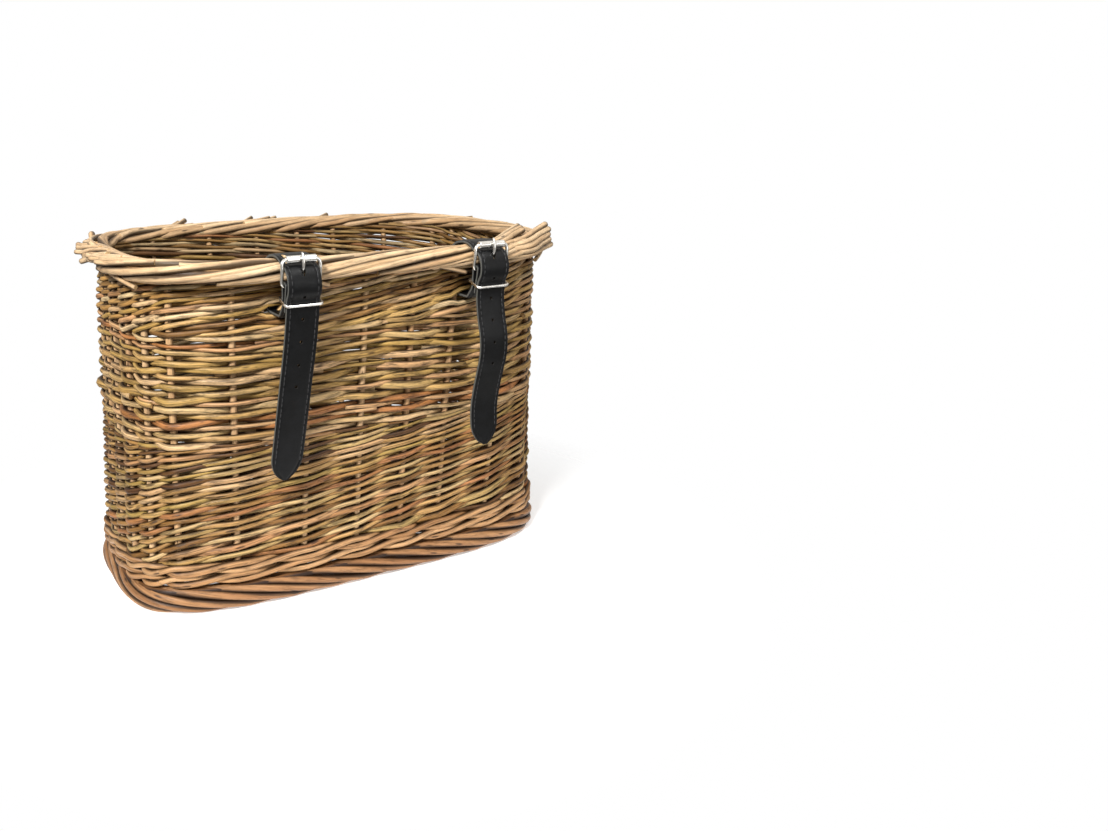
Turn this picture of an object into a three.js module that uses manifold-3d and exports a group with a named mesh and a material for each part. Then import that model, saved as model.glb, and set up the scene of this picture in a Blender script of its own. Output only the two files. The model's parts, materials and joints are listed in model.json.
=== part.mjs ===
// A woven willow handlebar basket with two buckled leather straps.
// Millimetres. +X runs along the front, the straps are on the -Y side, +Z is up.
// The origin is under the middle of the whole object, on the surface it stands on.
import * as THREE from "three";
import { mergeVertices } from "three/addons/utils/BufferGeometryUtils.js";
import Module from "manifold-3d";

const wasm = await Module();
wasm.setup();

// ---- Driving dimensions ----
const GAP = 0.3; // between touching pieces
const FOOT = { width: 345, depth: 172, squareness: 3.9, tall: 20, thick: 16 };
const RIM = { width: 342, depth: 230, squareness: 3.15, tall: 16, thick: 21, top: 242 };
const WALL_BOTTOM = { halfWidth: 163.5, halfDepth: 77, squareness: 3.9, z: FOOT.tall + GAP };
const WALL_TOP = { halfWidth: 154, halfDepth: 98, squareness: 3.15, z: RIM.top - RIM.tall - GAP };
const SIDING = 11; // thickness of the plain weave
const WALE = 15; // thickness of the twisted weave at the bottom
const BAND_TOPS = { wale: 36, lower: 120, middle: 194 };
const RING_STEPS = 52;

// How far each stake of a quarter stands from the middle of the front, along the foot of the wall.
const RIGHT_STAKES = [21.5, 54, 99, 141, 160, 178, 203];
const LEFT_STAKES = [14, 54, 102, 141, 160, 178, 203];
const STAKE_RADIUS = 2.5;
const STAKE_SIDES = 6;

const BASE = { bottom: 20.6, tall: 12, margin: 8.9, squareness: 3.9 };
const CROSS_STICK = { radius: 4, halfLength: 64, pitch: 52, count: 5 };
const LONG_STICK = { radius: 2.2, halfLength: 150, pitch: 30, count: 3 };

const STRAP = { x: 68, width: 22, thick: 2.4, fold: 2.2 };
const HEEL = { y: -116.5, z: 227 }; // the bar that the strap folds round
const ROLLER = { y: -118.3, z: 243.1, radius: 2.4, length: 19.5 };
const WIRE = 1.25; // radius of the buckle's wire
const FRAME_HALF_WIDTH = 13.1; // to the middle of the side bars
const FRAME_CORNER = 2.6;
const PRONG_RADIUS = 1;
const SLOT_HALF_WIDTH = 1.6; // the slot that the prong works in
const KEEPER = { z: 216, outer: -122.7, inner: -110.7, halfWidth: 12.6, wire: 0.9, corner: 2.2 };
const TAIL_HINGE = { y: -118.7, z: 210.4 };
const TAIL_STEPS = 18;
const TIP_LENGTH = 17; // the rounded point at the free end
const TIP_STEPS = [1, 0.85, 0.65, 0.4, 0.2, 0.06]; // shares of the point still to come
const WALL_SLOT = { z: 207.6, tall: 5.4, halfWidth: 11.8 };

// ---- Materials ----
function material(color, roughness, metalness = 0) {
  return new THREE.MeshStandardMaterial({ color, roughness, metalness });
}
const BUFF = material(0xc99a66, 0.6);
const GREEN_BROWN = material(0x8c6f3c, 0.65);
const OLIVE = material(0x7f6e38, 0.65);
const BROWN = material(0x86603a, 0.65);
const LEATHER = material(0x17171a, 0.45);
const NICKEL = material(0xd4d4d6, 0.25, 1);

// ---- Solids ----
function vec(x, y, z) {
  return new THREE.Vector3(x, y, z);
}

function facingOut(geometry) {
  const p = geometry.getAttribute("position");
  const index = geometry.index.array;
  const [a, b, c] = [new THREE.Vector3(), new THREE.Vector3(), new THREE.Vector3()];
  let volume = 0;
  for (let i = 0; i < index.length; i += 3) {
    a.fromBufferAttribute(p, index[i]);
    b.fromBufferAttribute(p, index[i + 1]);
    c.fromBufferAttribute(p, index[i + 2]);
    volume += a.dot(b.cross(c));
  }
  if (volume < 0) index.reverse();
  return geometry;
}

// A closed skin over a row of sections. A looped row joins its last section to its first.
function loft(sections, looped = false) {
  const count = sections[0].length;
  const rows = looped ? sections.length : sections.length - 1;
  const index = [];
  for (let row = 0; row < rows; row += 1) {
    const here = row * count;
    const next = ((row + 1) % sections.length) * count;
    for (let i = 0; i < count; i += 1) {
      const j = (i + 1) % count;
      index.push(here + i, here + j, next + j, here + i, next + j, next + i);
    }
  }
  const last = (sections.length - 1) * count;
  for (let i = 1; i < count - 1 && !looped; i += 1) {
    index.push(0, i + 1, i, last, last + i, last + i + 1);
  }
  const geometry = new THREE.BufferGeometry().setFromPoints(sections.flat());
  return facingOut(geometry.setIndex(index));
}

function solidOf(geometry, matrix = new THREE.Matrix4()) {
  const placed = geometry.clone().applyMatrix4(matrix);
  placed.deleteAttribute("normal");
  placed.deleteAttribute("uv");
  const merged = mergeVertices(placed, 1e-3);
  return new wasm.Manifold(
    new wasm.Mesh({
      numProp: 3,
      vertProperties: new Float32Array(merged.attributes.position.array),
      triVerts: new Uint32Array(merged.index.array),
    }),
  );
}

function geometryOf(solid) {
  const { vertProperties, triVerts } = solid.getMesh();
  const geometry = new THREE.BufferGeometry();
  geometry.setAttribute("position", new THREE.BufferAttribute(vertProperties, 3));
  geometry.setIndex(new THREE.BufferAttribute(triVerts, 1));
  return geometry;
}

function cut(geometry, tools) {
  return geometryOf(tools.reduce((rest, tool) => rest.subtract(tool), solidOf(geometry)));
}

function boxSolid(low, high) {
  const size = high.clone().sub(low);
  const middle = high.clone().add(low).multiplyScalar(0.5);
  const matrix = new THREE.Matrix4().setPosition(middle);
  return solidOf(new THREE.BoxGeometry(size.x, size.y, size.z), matrix);
}

function named(name, geometry, look) {
  const mesh = new THREE.Mesh(geometry, look);
  mesh.name = name;
  return mesh;
}

// A straight rod from one point to another, as geometry and the matrix that places it.
function rod(from, to, radius, sides) {
  const along = to.clone().sub(from);
  const geometry = new THREE.CylinderGeometry(radius, radius, along.length(), sides);
  const turn = new THREE.Quaternion().setFromUnitVectors(vec(0, 1, 0), along.clone().normalize());
  const middle = from.clone().add(to).multiplyScalar(0.5);
  const matrix = new THREE.Matrix4().compose(middle, turn, vec(1, 1, 1));
  return { geometry, matrix };
}

function rodMesh(name, from, to, radius, sides, look) {
  const { geometry, matrix } = rod(from, to, radius, sides);
  const mesh = named(name, geometry, look);
  mesh.applyMatrix4(matrix);
  return mesh;
}

// ---- The plan: a bowed oblong, walked from the middle of the front towards +X ----
class PlanCurve extends THREE.Curve {
  constructor(halfWidth, halfDepth, squareness) {
    super();
    Object.assign(this, { halfWidth, halfDepth, squareness });
    this.arcLengthDivisions = 800;
  }

  getPoint(t) {
    const angle = (t - 0.25) * 2 * Math.PI;
    const [c, s] = [Math.cos(angle), Math.sin(angle)];
    const sum =
      Math.abs(c / this.halfWidth) ** this.squareness +
      Math.abs(s / this.halfDepth) ** this.squareness;
    const reach = sum ** (-1 / this.squareness);
    return vec(reach * c, reach * s, 0);
  }

  outwardAt(u) {
    const tangent = this.getTangentAt(u);
    return vec(tangent.y, -tangent.x, 0).normalize();
  }
}

const wallFootPlan = new PlanCurve(WALL_BOTTOM.halfWidth, WALL_BOTTOM.halfDepth, WALL_BOTTOM.squareness);
const wallRimPlan = new PlanCurve(WALL_TOP.halfWidth, WALL_TOP.halfDepth, WALL_TOP.squareness);

// A point of the wall at share u of the way round and height z, moved outward by offset.
function wallPoint(u, z, offset = 0) {
  const share = (z - WALL_BOTTOM.z) / (WALL_TOP.z - WALL_BOTTOM.z);
  const point = wallFootPlan.getPointAt(u).lerp(wallRimPlan.getPointAt(u), share);
  const out = wallFootPlan.outwardAt(u).lerp(wallRimPlan.outwardAt(u), share).normalize();
  return point.addScaledVector(out, offset).setZ(z);
}

function aroundRing(section) {
  return Array.from({ length: RING_STEPS }, (_, i) => section(i / RING_STEPS));
}

// A rolled border: a ring whose section is given as [outward, up] pairs about its middle.
function border(name, size, middleZ, outline) {
  const plan = new PlanCurve(
    (size.width - size.thick) / 2,
    (size.depth - size.thick) / 2,
    size.squareness,
  );
  const sections = aroundRing((u) => {
    const out = plan.outwardAt(u);
    return outline.map(([dx, dz]) => plan.getPointAt(u).addScaledVector(out, dx).setZ(middleZ + dz));
  });
  return named(name, loft(sections, true), BUFF);
}

function topBorder() {
  const sides = 10;
  const oval = Array.from({ length: sides }, (_, i) => {
    const angle = (i * 2 * Math.PI) / sides;
    return [(Math.cos(angle) * RIM.thick) / 2, (Math.sin(angle) * RIM.tall) / 2];
  });
  return border("top_border", RIM, RIM.top - RIM.tall / 2, oval);
}

// The foot border's section is flat underneath, where the basket stands.
function footBorder() {
  const [half, high, flat] = [FOOT.thick / 2, FOOT.tall / 2, 4.6];
  const shoulder = high * 0.55;
  const section = [
    [-flat, -high],
    [flat, -high],
    [half, -shoulder],
    [half, shoulder],
    [flat, high],
    [-flat, high],
    [-half, shoulder],
    [-half, -shoulder],
  ];
  return border("foot_border", FOOT, high, section);
}

// ---- Stakes and the weave round them ----
// The back mirrors the front, so each distance gives two stakes.
function stakeShares() {
  const perimeter = wallFootPlan.getLength();
  const right = RIGHT_STAKES.map((distance) => distance / perimeter);
  const left = LEFT_STAKES.map((distance) => 1 - distance / perimeter);
  const back = [...right.map((u) => 0.5 - u), ...left.map((u) => 1.5 - u)];
  return [...right, ...left, ...back].sort((a, b) => a - b);
}

const stakeLines = stakeShares().map((u) => [wallPoint(u, WALL_BOTTOM.z), wallPoint(u, WALL_TOP.z)]);

function stakes() {
  return stakeLines.map((line, i) => {
    const name = `stake_${String(i + 1).padStart(2, "0")}`;
    return rodMesh(name, ...line, STAKE_RADIUS, STAKE_SIDES, BUFF);
  });
}

const stakeHoles = stakeLines.map(([low, high]) => {
  const reach = high.clone().sub(low).normalize().multiplyScalar(2);
  const clearance = STAKE_RADIUS + GAP * 1.2;
  const { geometry, matrix } = rod(low.clone().sub(reach), high.clone().add(reach), clearance, STAKE_SIDES);
  return solidOf(geometry, matrix);
});

function wovenBand(name, low, high, thick, look, openings = []) {
  const corners = [
    [low, thick / 2],
    [high, thick / 2],
    [high, -thick / 2],
    [low, -thick / 2],
  ];
  const sections = aroundRing((u) => corners.map(([z, offset]) => wallPoint(u, z, offset)));
  return named(name, cut(loft(sections, true), [...stakeHoles, ...openings]), look);
}

// The slots under the rim where the straps go through the weave.
function strapSlot(side) {
  const [half, low] = [WALL_SLOT.halfWidth, WALL_SLOT.z - WALL_SLOT.tall / 2];
  return boxSolid(
    vec(side * STRAP.x - half, -112, low),
    vec(side * STRAP.x + half, -80, low + WALL_SLOT.tall),
  );
}

function sides() {
  const { wale, lower, middle } = BAND_TOPS;
  return [
    wovenBand("upsett_wale", WALL_BOTTOM.z, wale, WALE, BUFF),
    wovenBand("lower_siding", wale + GAP, lower, SIDING, OLIVE),
    wovenBand("middle_siding", lower + GAP, middle, SIDING, BROWN),
    wovenBand("upper_siding", middle + GAP, WALL_TOP.z, SIDING, GREEN_BROWN, [-1, 1].map(strapSlot)),
  ];
}

// ---- The base: long sticks threaded through pierced cross sticks, inside a flat weave ----
function crossLine(index) {
  const x = (index - (CROSS_STICK.count - 1) / 2) * CROSS_STICK.pitch;
  const z = BASE.bottom + BASE.tall / 2;
  return [vec(x, -CROSS_STICK.halfLength, z), vec(x, CROSS_STICK.halfLength, z)];
}

function longLine(index) {
  const y = (index - (LONG_STICK.count - 1) / 2) * LONG_STICK.pitch;
  const z = BASE.bottom + BASE.tall / 2;
  return [vec(-LONG_STICK.halfLength, y, z), vec(LONG_STICK.halfLength, y, z)];
}

// The tunnel round a stick, long enough to run out of the base at both ends.
function tunnel([from, to], radius) {
  const extra = to.clone().sub(from).normalize().multiplyScalar(20);
  const { geometry, matrix } = rod(from.clone().sub(extra), to.clone().add(extra), radius + GAP, 8);
  return solidOf(geometry, matrix);
}

function base() {
  const crossLines = Array.from({ length: CROSS_STICK.count }, (_, i) => crossLine(i));
  const longLines = Array.from({ length: LONG_STICK.count }, (_, i) => longLine(i));
  const longTunnels = longLines.map((line) => tunnel(line, LONG_STICK.radius));
  const crossTunnels = crossLines.map((line) => tunnel(line, CROSS_STICK.radius));
  const crossSticks = crossLines.map((line, i) => {
    const { geometry, matrix } = rod(...line, CROSS_STICK.radius, 8);
    return named(`base_stick_${i + 1}`, cut(geometry.applyMatrix4(matrix), longTunnels), BUFF);
  });
  const longSticks = longLines.map((line, i) =>
    rodMesh(`base_long_stick_${i + 1}`, ...line, LONG_STICK.radius, 8, BUFF),
  );
  const plan = new PlanCurve(
    WALL_BOTTOM.halfWidth - BASE.margin,
    WALL_BOTTOM.halfDepth - BASE.margin,
    BASE.squareness,
  );
  const outline = new THREE.Shape(aroundRing((u) => plan.getPointAt(u)));
  const slab = new THREE.ExtrudeGeometry(outline, { depth: BASE.tall, bevelEnabled: false });
  slab.translate(0, 0, BASE.bottom);
  const weave = named("base_weave", cut(slab, [...crossTunnels, ...longTunnels]), OLIVE);
  return [...crossSticks, ...longSticks, weave];
}

// ---- Straps ----
// Points on an arc in the YZ plane. Angle 0 is +Y and 90 degrees is +Z.
function arc(y, z, radiusY, radiusZ, from, to, steps) {
  return Array.from({ length: steps + 1 }, (_, i) => {
    const angle = THREE.MathUtils.degToRad(from + ((to - from) * i) / steps);
    return vec(0, y + radiusY * Math.cos(angle), z + radiusZ * Math.sin(angle));
  });
}

// A flat strip along a line of points. The face turns with the line in the YZ plane.
function strip(points, width, thickness) {
  const sections = points.map((point, i) => {
    const before = points[Math.max(i - 1, 0)];
    const after = points[Math.min(i + 1, points.length - 1)];
    const along = after.clone().sub(before).normalize();
    const face = vec(0, along.z, -along.y).normalize().multiplyScalar(thickness(i) / 2);
    const half = vec(width(i) / 2, 0, 0);
    return [
      point.clone().add(half).add(face),
      point.clone().sub(half).add(face),
      point.clone().sub(half).sub(face),
      point.clone().add(half).sub(face),
    ];
  });
  return loft(sections);
}

// The strap's fixed run: folded round the heel bar, down, through the wall under the rim,
// up inside, over the rim, under the roller, over the heel bar and into the keeper.
function loopLine() {
  const foldRadius = WIRE + GAP + STRAP.fold / 2;
  const bend = 4; // radius of the middle of the leather where it turns through the wall
  const backY = HEEL.y + foldRadius + 0.2;
  const insideY = -85;
  const rimY = -102.5;
  const overZ = RIM.top + GAP + STRAP.thick / 2 + 0.3;
  const rimZ = RIM.top - RIM.tall / 2;
  const down = new THREE.CatmullRomCurve3([
    vec(0, -115.2, rimZ + 2),
    vec(0, -118.9, 232),
    vec(0, HEEL.y - 5.7, HEEL.z),
    vec(0, -121.6, 222),
    vec(0, -119.7, KEEPER.z),
    vec(0, TAIL_HINGE.y, TAIL_HINGE.z + STRAP.thick / 2 + GAP),
  ]);
  return [
    vec(0, backY - STRAP.fold - GAP, KEEPER.z - 4.5),
    ...arc(HEEL.y, HEEL.z, foldRadius, foldRadius, 180, 0, 10),
    vec(0, backY, KEEPER.z),
    ...arc(backY + bend, WALL_SLOT.z + bend, bend, bend, 180, 270, 5),
    ...arc(insideY - bend, WALL_SLOT.z + bend, bend, bend, -90, 0, 5),
    ...arc(rimY, rimZ, insideY - rimY, overZ - rimZ, 0, 90, 7),
    ...arc(rimY, rimZ, 13.1, overZ - rimZ, 105, 165, 5),
    ...down.getSpacedPoints(14).slice(1),
  ];
}

function strapLoop(name) {
  const line = loopLine();
  const thickness = (i) => (i < 20 ? STRAP.fold : STRAP.thick);
  const slot = SLOT_HALF_WIDTH;
  const eyeSlot = boxSolid(
    vec(-slot, HEEL.y - 4.3, HEEL.z - 4.4),
    vec(slot, HEEL.y + 4.4, HEEL.z + 4.6),
  );
  const prongSlot = boxSolid(vec(-slot, -125, HEEL.z - 0.2), vec(slot, HEEL.y + 0.5, HEEL.z + 11));
  return named(name, cut(strip(line, () => STRAP.width, thickness), [eyeSlot, prongSlot]), LEATHER);
}

// The free end hangs from a rounded top and ends in a rounded point.
function strapTail(name, shape) {
  const line = new THREE.CatmullRomCurve3([vec(0, TAIL_HINGE.y, TAIL_HINGE.z), ...shape]);
  const tipShare = TIP_LENGTH / line.getLength();
  const straight = Array.from({ length: TAIL_STEPS }, (_, i) => (i / TAIL_STEPS) * (1 - tipShare));
  const pointed = TIP_STEPS.map((left) => 1 - left * tipShare);
  const shares = [...straight, ...pointed];
  const width = (i) => {
    const left = Math.min((1 - shares[i]) / tipShare, 1);
    return STRAP.width * (1 - (1 - left) ** 2) ** 0.45;
  };
  const body = strip(shares.map((share) => line.getPointAt(share)), width, () => STRAP.thick);
  const knuckle = rod(
    vec(-STRAP.width / 2, TAIL_HINGE.y, TAIL_HINGE.z),
    vec(STRAP.width / 2, TAIL_HINGE.y, TAIL_HINGE.z),
    STRAP.thick / 2,
    12,
  );
  const joined = solidOf(body).add(solidOf(knuckle.geometry, knuckle.matrix));
  return named(name, geometryOf(joined), LEATHER);
}

// A closed wire bent to a rectangle with round corners, flat in its own XY plane.
function wireLoop(halfWidth, low, high, corner, wire, steps) {
  const path = new THREE.CurvePath();
  const corners = [
    [halfWidth, low, 1, -1],
    [halfWidth, high, 1, 1],
    [-halfWidth, high, -1, 1],
    [-halfWidth, low, -1, -1],
  ];
  const entries = corners.map(([x, y, sx, sy], i) => {
    const beside = vec(x - sx * corner, y, 0);
    const above = vec(x, y - sy * corner, 0);
    const [start, end] = i % 2 ? [above, beside] : [beside, above];
    return { start, end, tip: vec(x, y, 0) };
  });
  entries.forEach(({ start, end, tip }, i) => {
    path.add(new THREE.QuadraticBezierCurve3(start, tip, end));
    path.add(new THREE.LineCurve3(end, entries[(i + 1) % 4].start));
  });
  return new THREE.TubeGeometry(path, steps, wire, 6, true);
}

function buckleFrame(name) {
  const tall = Math.hypot(ROLLER.y - HEEL.y, ROLLER.z - HEEL.z);
  const frame = named(name, wireLoop(FRAME_HALF_WIDTH, 0, tall, FRAME_CORNER, WIRE, 40), NICKEL);
  frame.position.set(0, HEEL.y, HEEL.z);
  frame.rotation.x = Math.PI / 2 + Math.atan2(HEEL.y - ROLLER.y, ROLLER.z - HEEL.z);
  return frame;
}

function buckleRoller(name) {
  const inner = WIRE + GAP;
  const half = ROLLER.length / 2;
  const profile = [
    new THREE.Vector2(inner, -half),
    new THREE.Vector2(ROLLER.radius, -half),
    new THREE.Vector2(ROLLER.radius, half),
    new THREE.Vector2(inner, half),
    new THREE.Vector2(inner, -half),
  ];
  const roller = named(name, new THREE.LatheGeometry(profile, 12), NICKEL);
  roller.rotation.z = Math.PI / 2;
  roller.position.set(0, ROLLER.y, ROLLER.z);
  return roller;
}

function buckleProng(name) {
  const eyeRadius = WIRE + GAP + PRONG_RADIUS;
  const eye = new THREE.TorusGeometry(eyeRadius, PRONG_RADIUS, 8, 14);
  const place = new THREE.Matrix4().makeRotationY(Math.PI / 2).setPosition(0, HEEL.y, HEEL.z);
  const line = new THREE.CatmullRomCurve3([
    vec(0, HEEL.y - 0.9, HEEL.z + eyeRadius - 0.2),
    vec(0, -120.3, 234.5),
    vec(0, -121.9, 239),
    vec(0, -122, 243.2),
    vec(0, -121, 247),
  ]);
  const ring = (point) =>
    Array.from({ length: 8 }, (_, i) => {
      const angle = (i * Math.PI) / 4;
      return point.clone().add(vec(Math.cos(angle), Math.sin(angle), 0).multiplyScalar(PRONG_RADIUS));
    });
  const shank = loft(line.getSpacedPoints(9).map(ring));
  return named(name, geometryOf(solidOf(eye, place).add(solidOf(shank))), NICKEL);
}

function keeperLoop(name) {
  const { outer, inner, halfWidth, wire, corner } = KEEPER;
  const keeper = named(name, wireLoop(halfWidth, outer, inner, corner, wire, 40), NICKEL);
  keeper.position.z = KEEPER.z;
  return keeper;
}

function strap(side, tailShape) {
  const label = side < 0 ? "left" : "right";
  const group = new THREE.Group();
  group.position.x = side * STRAP.x;
  group.add(
    strapLoop(`${label}_strap_loop`),
    strapTail(`${label}_strap_tail`, tailShape),
    buckleFrame(`${label}_buckle_frame`),
    buckleRoller(`${label}_buckle_roller`),
    buckleProng(`${label}_buckle_prong`),
    keeperLoop(`${label}_keeper`),
  );
  return group;
}

// Where each free end hangs, from below the keeper to the tip.
const LEFT_TAIL = [
  vec(-1.2, -116.4, 190),
  vec(-3.2, -112.6, 165),
  vec(-5.8, -107.6, 132),
  vec(-8.8, -102.6, 98),
];
const RIGHT_TAIL = [
  vec(0.4, -120.6, 196),
  vec(1.2, -124.2, 176),
  vec(1.6, -119.4, 156),
  vec(1.8, -113.6, 132),
  vec(3.6, -113.4, 101),
];

const basket = new THREE.Group();
basket.add(
  footBorder(),
  ...base(),
  ...sides(),
  ...stakes(),
  topBorder(),
  strap(-1, LEFT_TAIL),
  strap(1, RIGHT_TAIL),
);

// The straps reach further out at the front than the rim does at the back.
const middle = new THREE.Box3().setFromObject(basket).getCenter(new THREE.Vector3());
basket.position.y = -middle.y;
const object = new THREE.Group();
object.add(basket);

export default object;
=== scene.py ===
"""A woven willow handlebar basket with two buckled leather straps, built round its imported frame."""

import json
import math

import bpy
import numpy as np
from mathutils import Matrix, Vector


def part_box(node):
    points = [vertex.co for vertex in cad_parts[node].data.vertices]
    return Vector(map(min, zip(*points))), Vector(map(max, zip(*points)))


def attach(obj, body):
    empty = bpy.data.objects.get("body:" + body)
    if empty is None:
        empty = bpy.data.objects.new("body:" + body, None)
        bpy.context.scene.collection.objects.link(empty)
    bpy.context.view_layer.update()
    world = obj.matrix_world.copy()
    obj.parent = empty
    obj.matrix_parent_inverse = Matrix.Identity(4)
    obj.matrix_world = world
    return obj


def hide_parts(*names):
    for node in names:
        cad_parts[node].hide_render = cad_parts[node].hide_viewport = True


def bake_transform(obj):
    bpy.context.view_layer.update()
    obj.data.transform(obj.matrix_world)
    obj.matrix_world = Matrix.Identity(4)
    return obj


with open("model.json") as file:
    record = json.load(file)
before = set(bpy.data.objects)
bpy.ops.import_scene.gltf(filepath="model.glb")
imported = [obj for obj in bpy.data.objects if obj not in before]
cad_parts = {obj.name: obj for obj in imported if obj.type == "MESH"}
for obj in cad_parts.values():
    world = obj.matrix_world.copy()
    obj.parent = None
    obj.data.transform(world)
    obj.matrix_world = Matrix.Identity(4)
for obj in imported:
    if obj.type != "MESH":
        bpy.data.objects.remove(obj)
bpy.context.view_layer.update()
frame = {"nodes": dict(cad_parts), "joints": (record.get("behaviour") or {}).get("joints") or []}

MM = 0.001
UP = np.array([0.0, 0.0, 1.0])
RIGHT = np.array([1.0, 0.0, 0.0])
rng = np.random.default_rng(11)
JOINTS = {joint["name"]: joint for joint in frame["joints"]}


# ---- Node helpers ----
def linear(red, green, blue):
    """A screen colour of 0 to 255 a channel, as the linear colour that a shader takes."""
    channels = [channel / 255 for channel in (red, green, blue)]
    bent = [c / 12.92 if c <= 0.04045 else ((c + 0.055) / 1.055) ** 2.4 for c in channels]
    return (*bent, 1.0)


def grey(value):
    return (value, value, value, 1.0)


def feed(tree, node, inputs):
    """Sets a node's inputs to plain values, or links them to the outputs of other nodes."""
    for key, value in inputs.items():
        if isinstance(value, bpy.types.NodeSocket):
            tree.links.new(value, node.inputs[key])
        else:
            node.inputs[key].default_value = value


def add_node(tree, kind, inputs=None, **settings):
    node = tree.nodes.new(kind)
    for key, value in settings.items():
        setattr(node, key, value)
    feed(tree, node, inputs or {})
    return node


def new_material(name):
    material = bpy.data.materials.new(name)
    material.use_nodes = True
    return material, material.node_tree, material.node_tree.nodes["Principled BSDF"]


def attribute(tree, name, output="Fac"):
    return add_node(tree, "ShaderNodeAttribute", attribute_name=name).outputs[output]


def object_place(tree):
    return add_node(tree, "ShaderNodeTexCoord").outputs["Object"]


def stretched(tree, vector, scale):
    return add_node(tree, "ShaderNodeVectorMath", {0: vector, 1: scale}, operation="MULTIPLY").outputs[0]


def noise(tree, vector, scale, detail=3.0, roughness=0.55):
    inputs = {"Vector": vector, "Scale": scale, "Detail": detail, "Roughness": roughness}
    return add_node(tree, "ShaderNodeTexNoise", inputs).outputs["Fac"]


def cells(tree, vector, scale):
    return add_node(tree, "ShaderNodeTexVoronoi", {"Vector": vector, "Scale": scale}).outputs["Distance"]


def ramp(tree, factor, stops):
    node = add_node(tree, "ShaderNodeValToRGB", {0: factor})
    elements = node.color_ramp.elements
    while len(elements) < len(stops):
        elements.new(0.5)
    for element, (position, colour) in zip(elements, stops):
        element.position = position
        element.color = colour
    return node.outputs["Color"]


def span(tree, factor, low, high, to_low, to_high):
    """Maps low..high to to_low..to_high, and holds the ends beyond."""
    inputs = {"Value": factor, "From Min": low, "From Max": high, "To Min": to_low, "To Max": to_high}
    return add_node(tree, "ShaderNodeMapRange", inputs).outputs["Result"]


def blended(tree, factor, first, second, mode="MIX"):
    inputs = {0: factor, 6: first, 7: second}
    return add_node(tree, "ShaderNodeMix", inputs, data_type="RGBA", blend_type=mode).outputs[2]


def bump(tree, shader, height, distance, strength):
    inputs = {"Strength": strength, "Distance": distance, "Height": height}
    feed(tree, shader, {"Normal": add_node(tree, "ShaderNodeBump", inputs).outputs[0]})


# ---- Camera, light and floor ----
PHOTO_YAW = math.radians(-28.1)
PHOTO_PITCH = math.radians(17.9)
FOCAL_LENGTH = 30.8
SENSOR_WIDTH = 36.0
SHIFT = 0.157
# Places round the basket, in foot widths.
CAMERA_DISTANCE = 2.2
AIM_RIGHT = 0.14
AIM_HEIGHT = 0.273

LIGHT_AIM = Vector((0.0, 0.0, 0.1))
WHITE = grey(1.0)
WARM_WHITE = (1.0, 0.95, 0.88, 1.0)
# The world's strength: as a light, and where it is mirrored, overhead and at the walls.
DIFFUSE_SKY = 0.15
CEILING_GLOSS = 0.95
WALL_GLOSS = 0.38
GLOSS_HEIGHTS = (-0.1, 0.6)  # from the walls' to the ceiling's, as heights on a ball of radius 1
FLOOR_REACH = 3.0
FLOOR_FADE = (0.19, 0.33)  # the distances between which the floor turns clear


def add_camera():
    low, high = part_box("foot_border")
    width = high.x - low.x
    aim = Vector((AIM_RIGHT * width, ((low + high) / 2).y, AIM_HEIGHT * width))
    flat = math.cos(PHOTO_PITCH)
    back = Vector((math.sin(PHOTO_YAW) * flat, -math.cos(PHOTO_YAW) * flat, math.sin(PHOTO_PITCH)))
    data = bpy.data.cameras.new("camera")
    data.sensor_width = SENSOR_WIDTH
    data.lens = FOCAL_LENGTH
    data.shift_x = SHIFT
    camera = bpy.data.objects.new("camera", data)
    camera.location = aim + back * CAMERA_DISTANCE * width
    camera.rotation_euler = (-back).to_track_quat("-Z", "Y").to_euler()
    bpy.context.scene.collection.objects.link(camera)
    bpy.context.scene.camera = camera


def add_area_light(name, place, size, power):
    data = bpy.data.lights.new(name, "AREA")
    data.shape = "DISK"
    data.size = size
    data.energy = power
    light = bpy.data.objects.new(name, data)
    light.location = place
    light.rotation_euler = (LIGHT_AIM - Vector(place)).to_track_quat("-Z", "Y").to_euler()
    bpy.context.scene.collection.objects.link(light)


def add_world():
    """White to look at, dim and warm as a light, and brighter overhead than at the walls when mirrored."""
    world = bpy.data.worlds.new("studio")
    bpy.context.scene.world = world
    world.use_nodes = True
    tree = world.node_tree
    direction = add_node(tree, "ShaderNodeTexCoord").outputs["Generated"]
    height = add_node(tree, "ShaderNodeSeparateXYZ", {0: direction}).outputs["Z"]
    mirrored = span(tree, height, *GLOSS_HEIGHTS, WALL_GLOSS, CEILING_GLOSS)
    ray = add_node(tree, "ShaderNodeLightPath").outputs
    strength = span(tree, ray["Is Glossy Ray"], 0.0, 1.0, DIFFUSE_SKY, mirrored)
    light = tree.nodes["Background"]
    feed(tree, light, {"Color": WARM_WHITE, "Strength": strength})
    backdrop = add_node(tree, "ShaderNodeBackground", {"Color": WHITE, "Strength": 1.0})
    inputs = {0: ray["Is Camera Ray"], 1: light.outputs[0], 2: backdrop.outputs[0]}
    mix = add_node(tree, "ShaderNodeMixShader", inputs)
    feed(tree, tree.nodes["World Output"], {"Surface": mix.outputs[0]})


def add_floor():
    corners = [(x * FLOOR_REACH, y * FLOOR_REACH, 0) for x, y in ((-1, -1), (1, -1), (1, 1), (-1, 1))]
    floor = mesh_object("floor", corners, [(0, 1, 2, 3)])
    floor.data.materials.append(floor_material())


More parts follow.
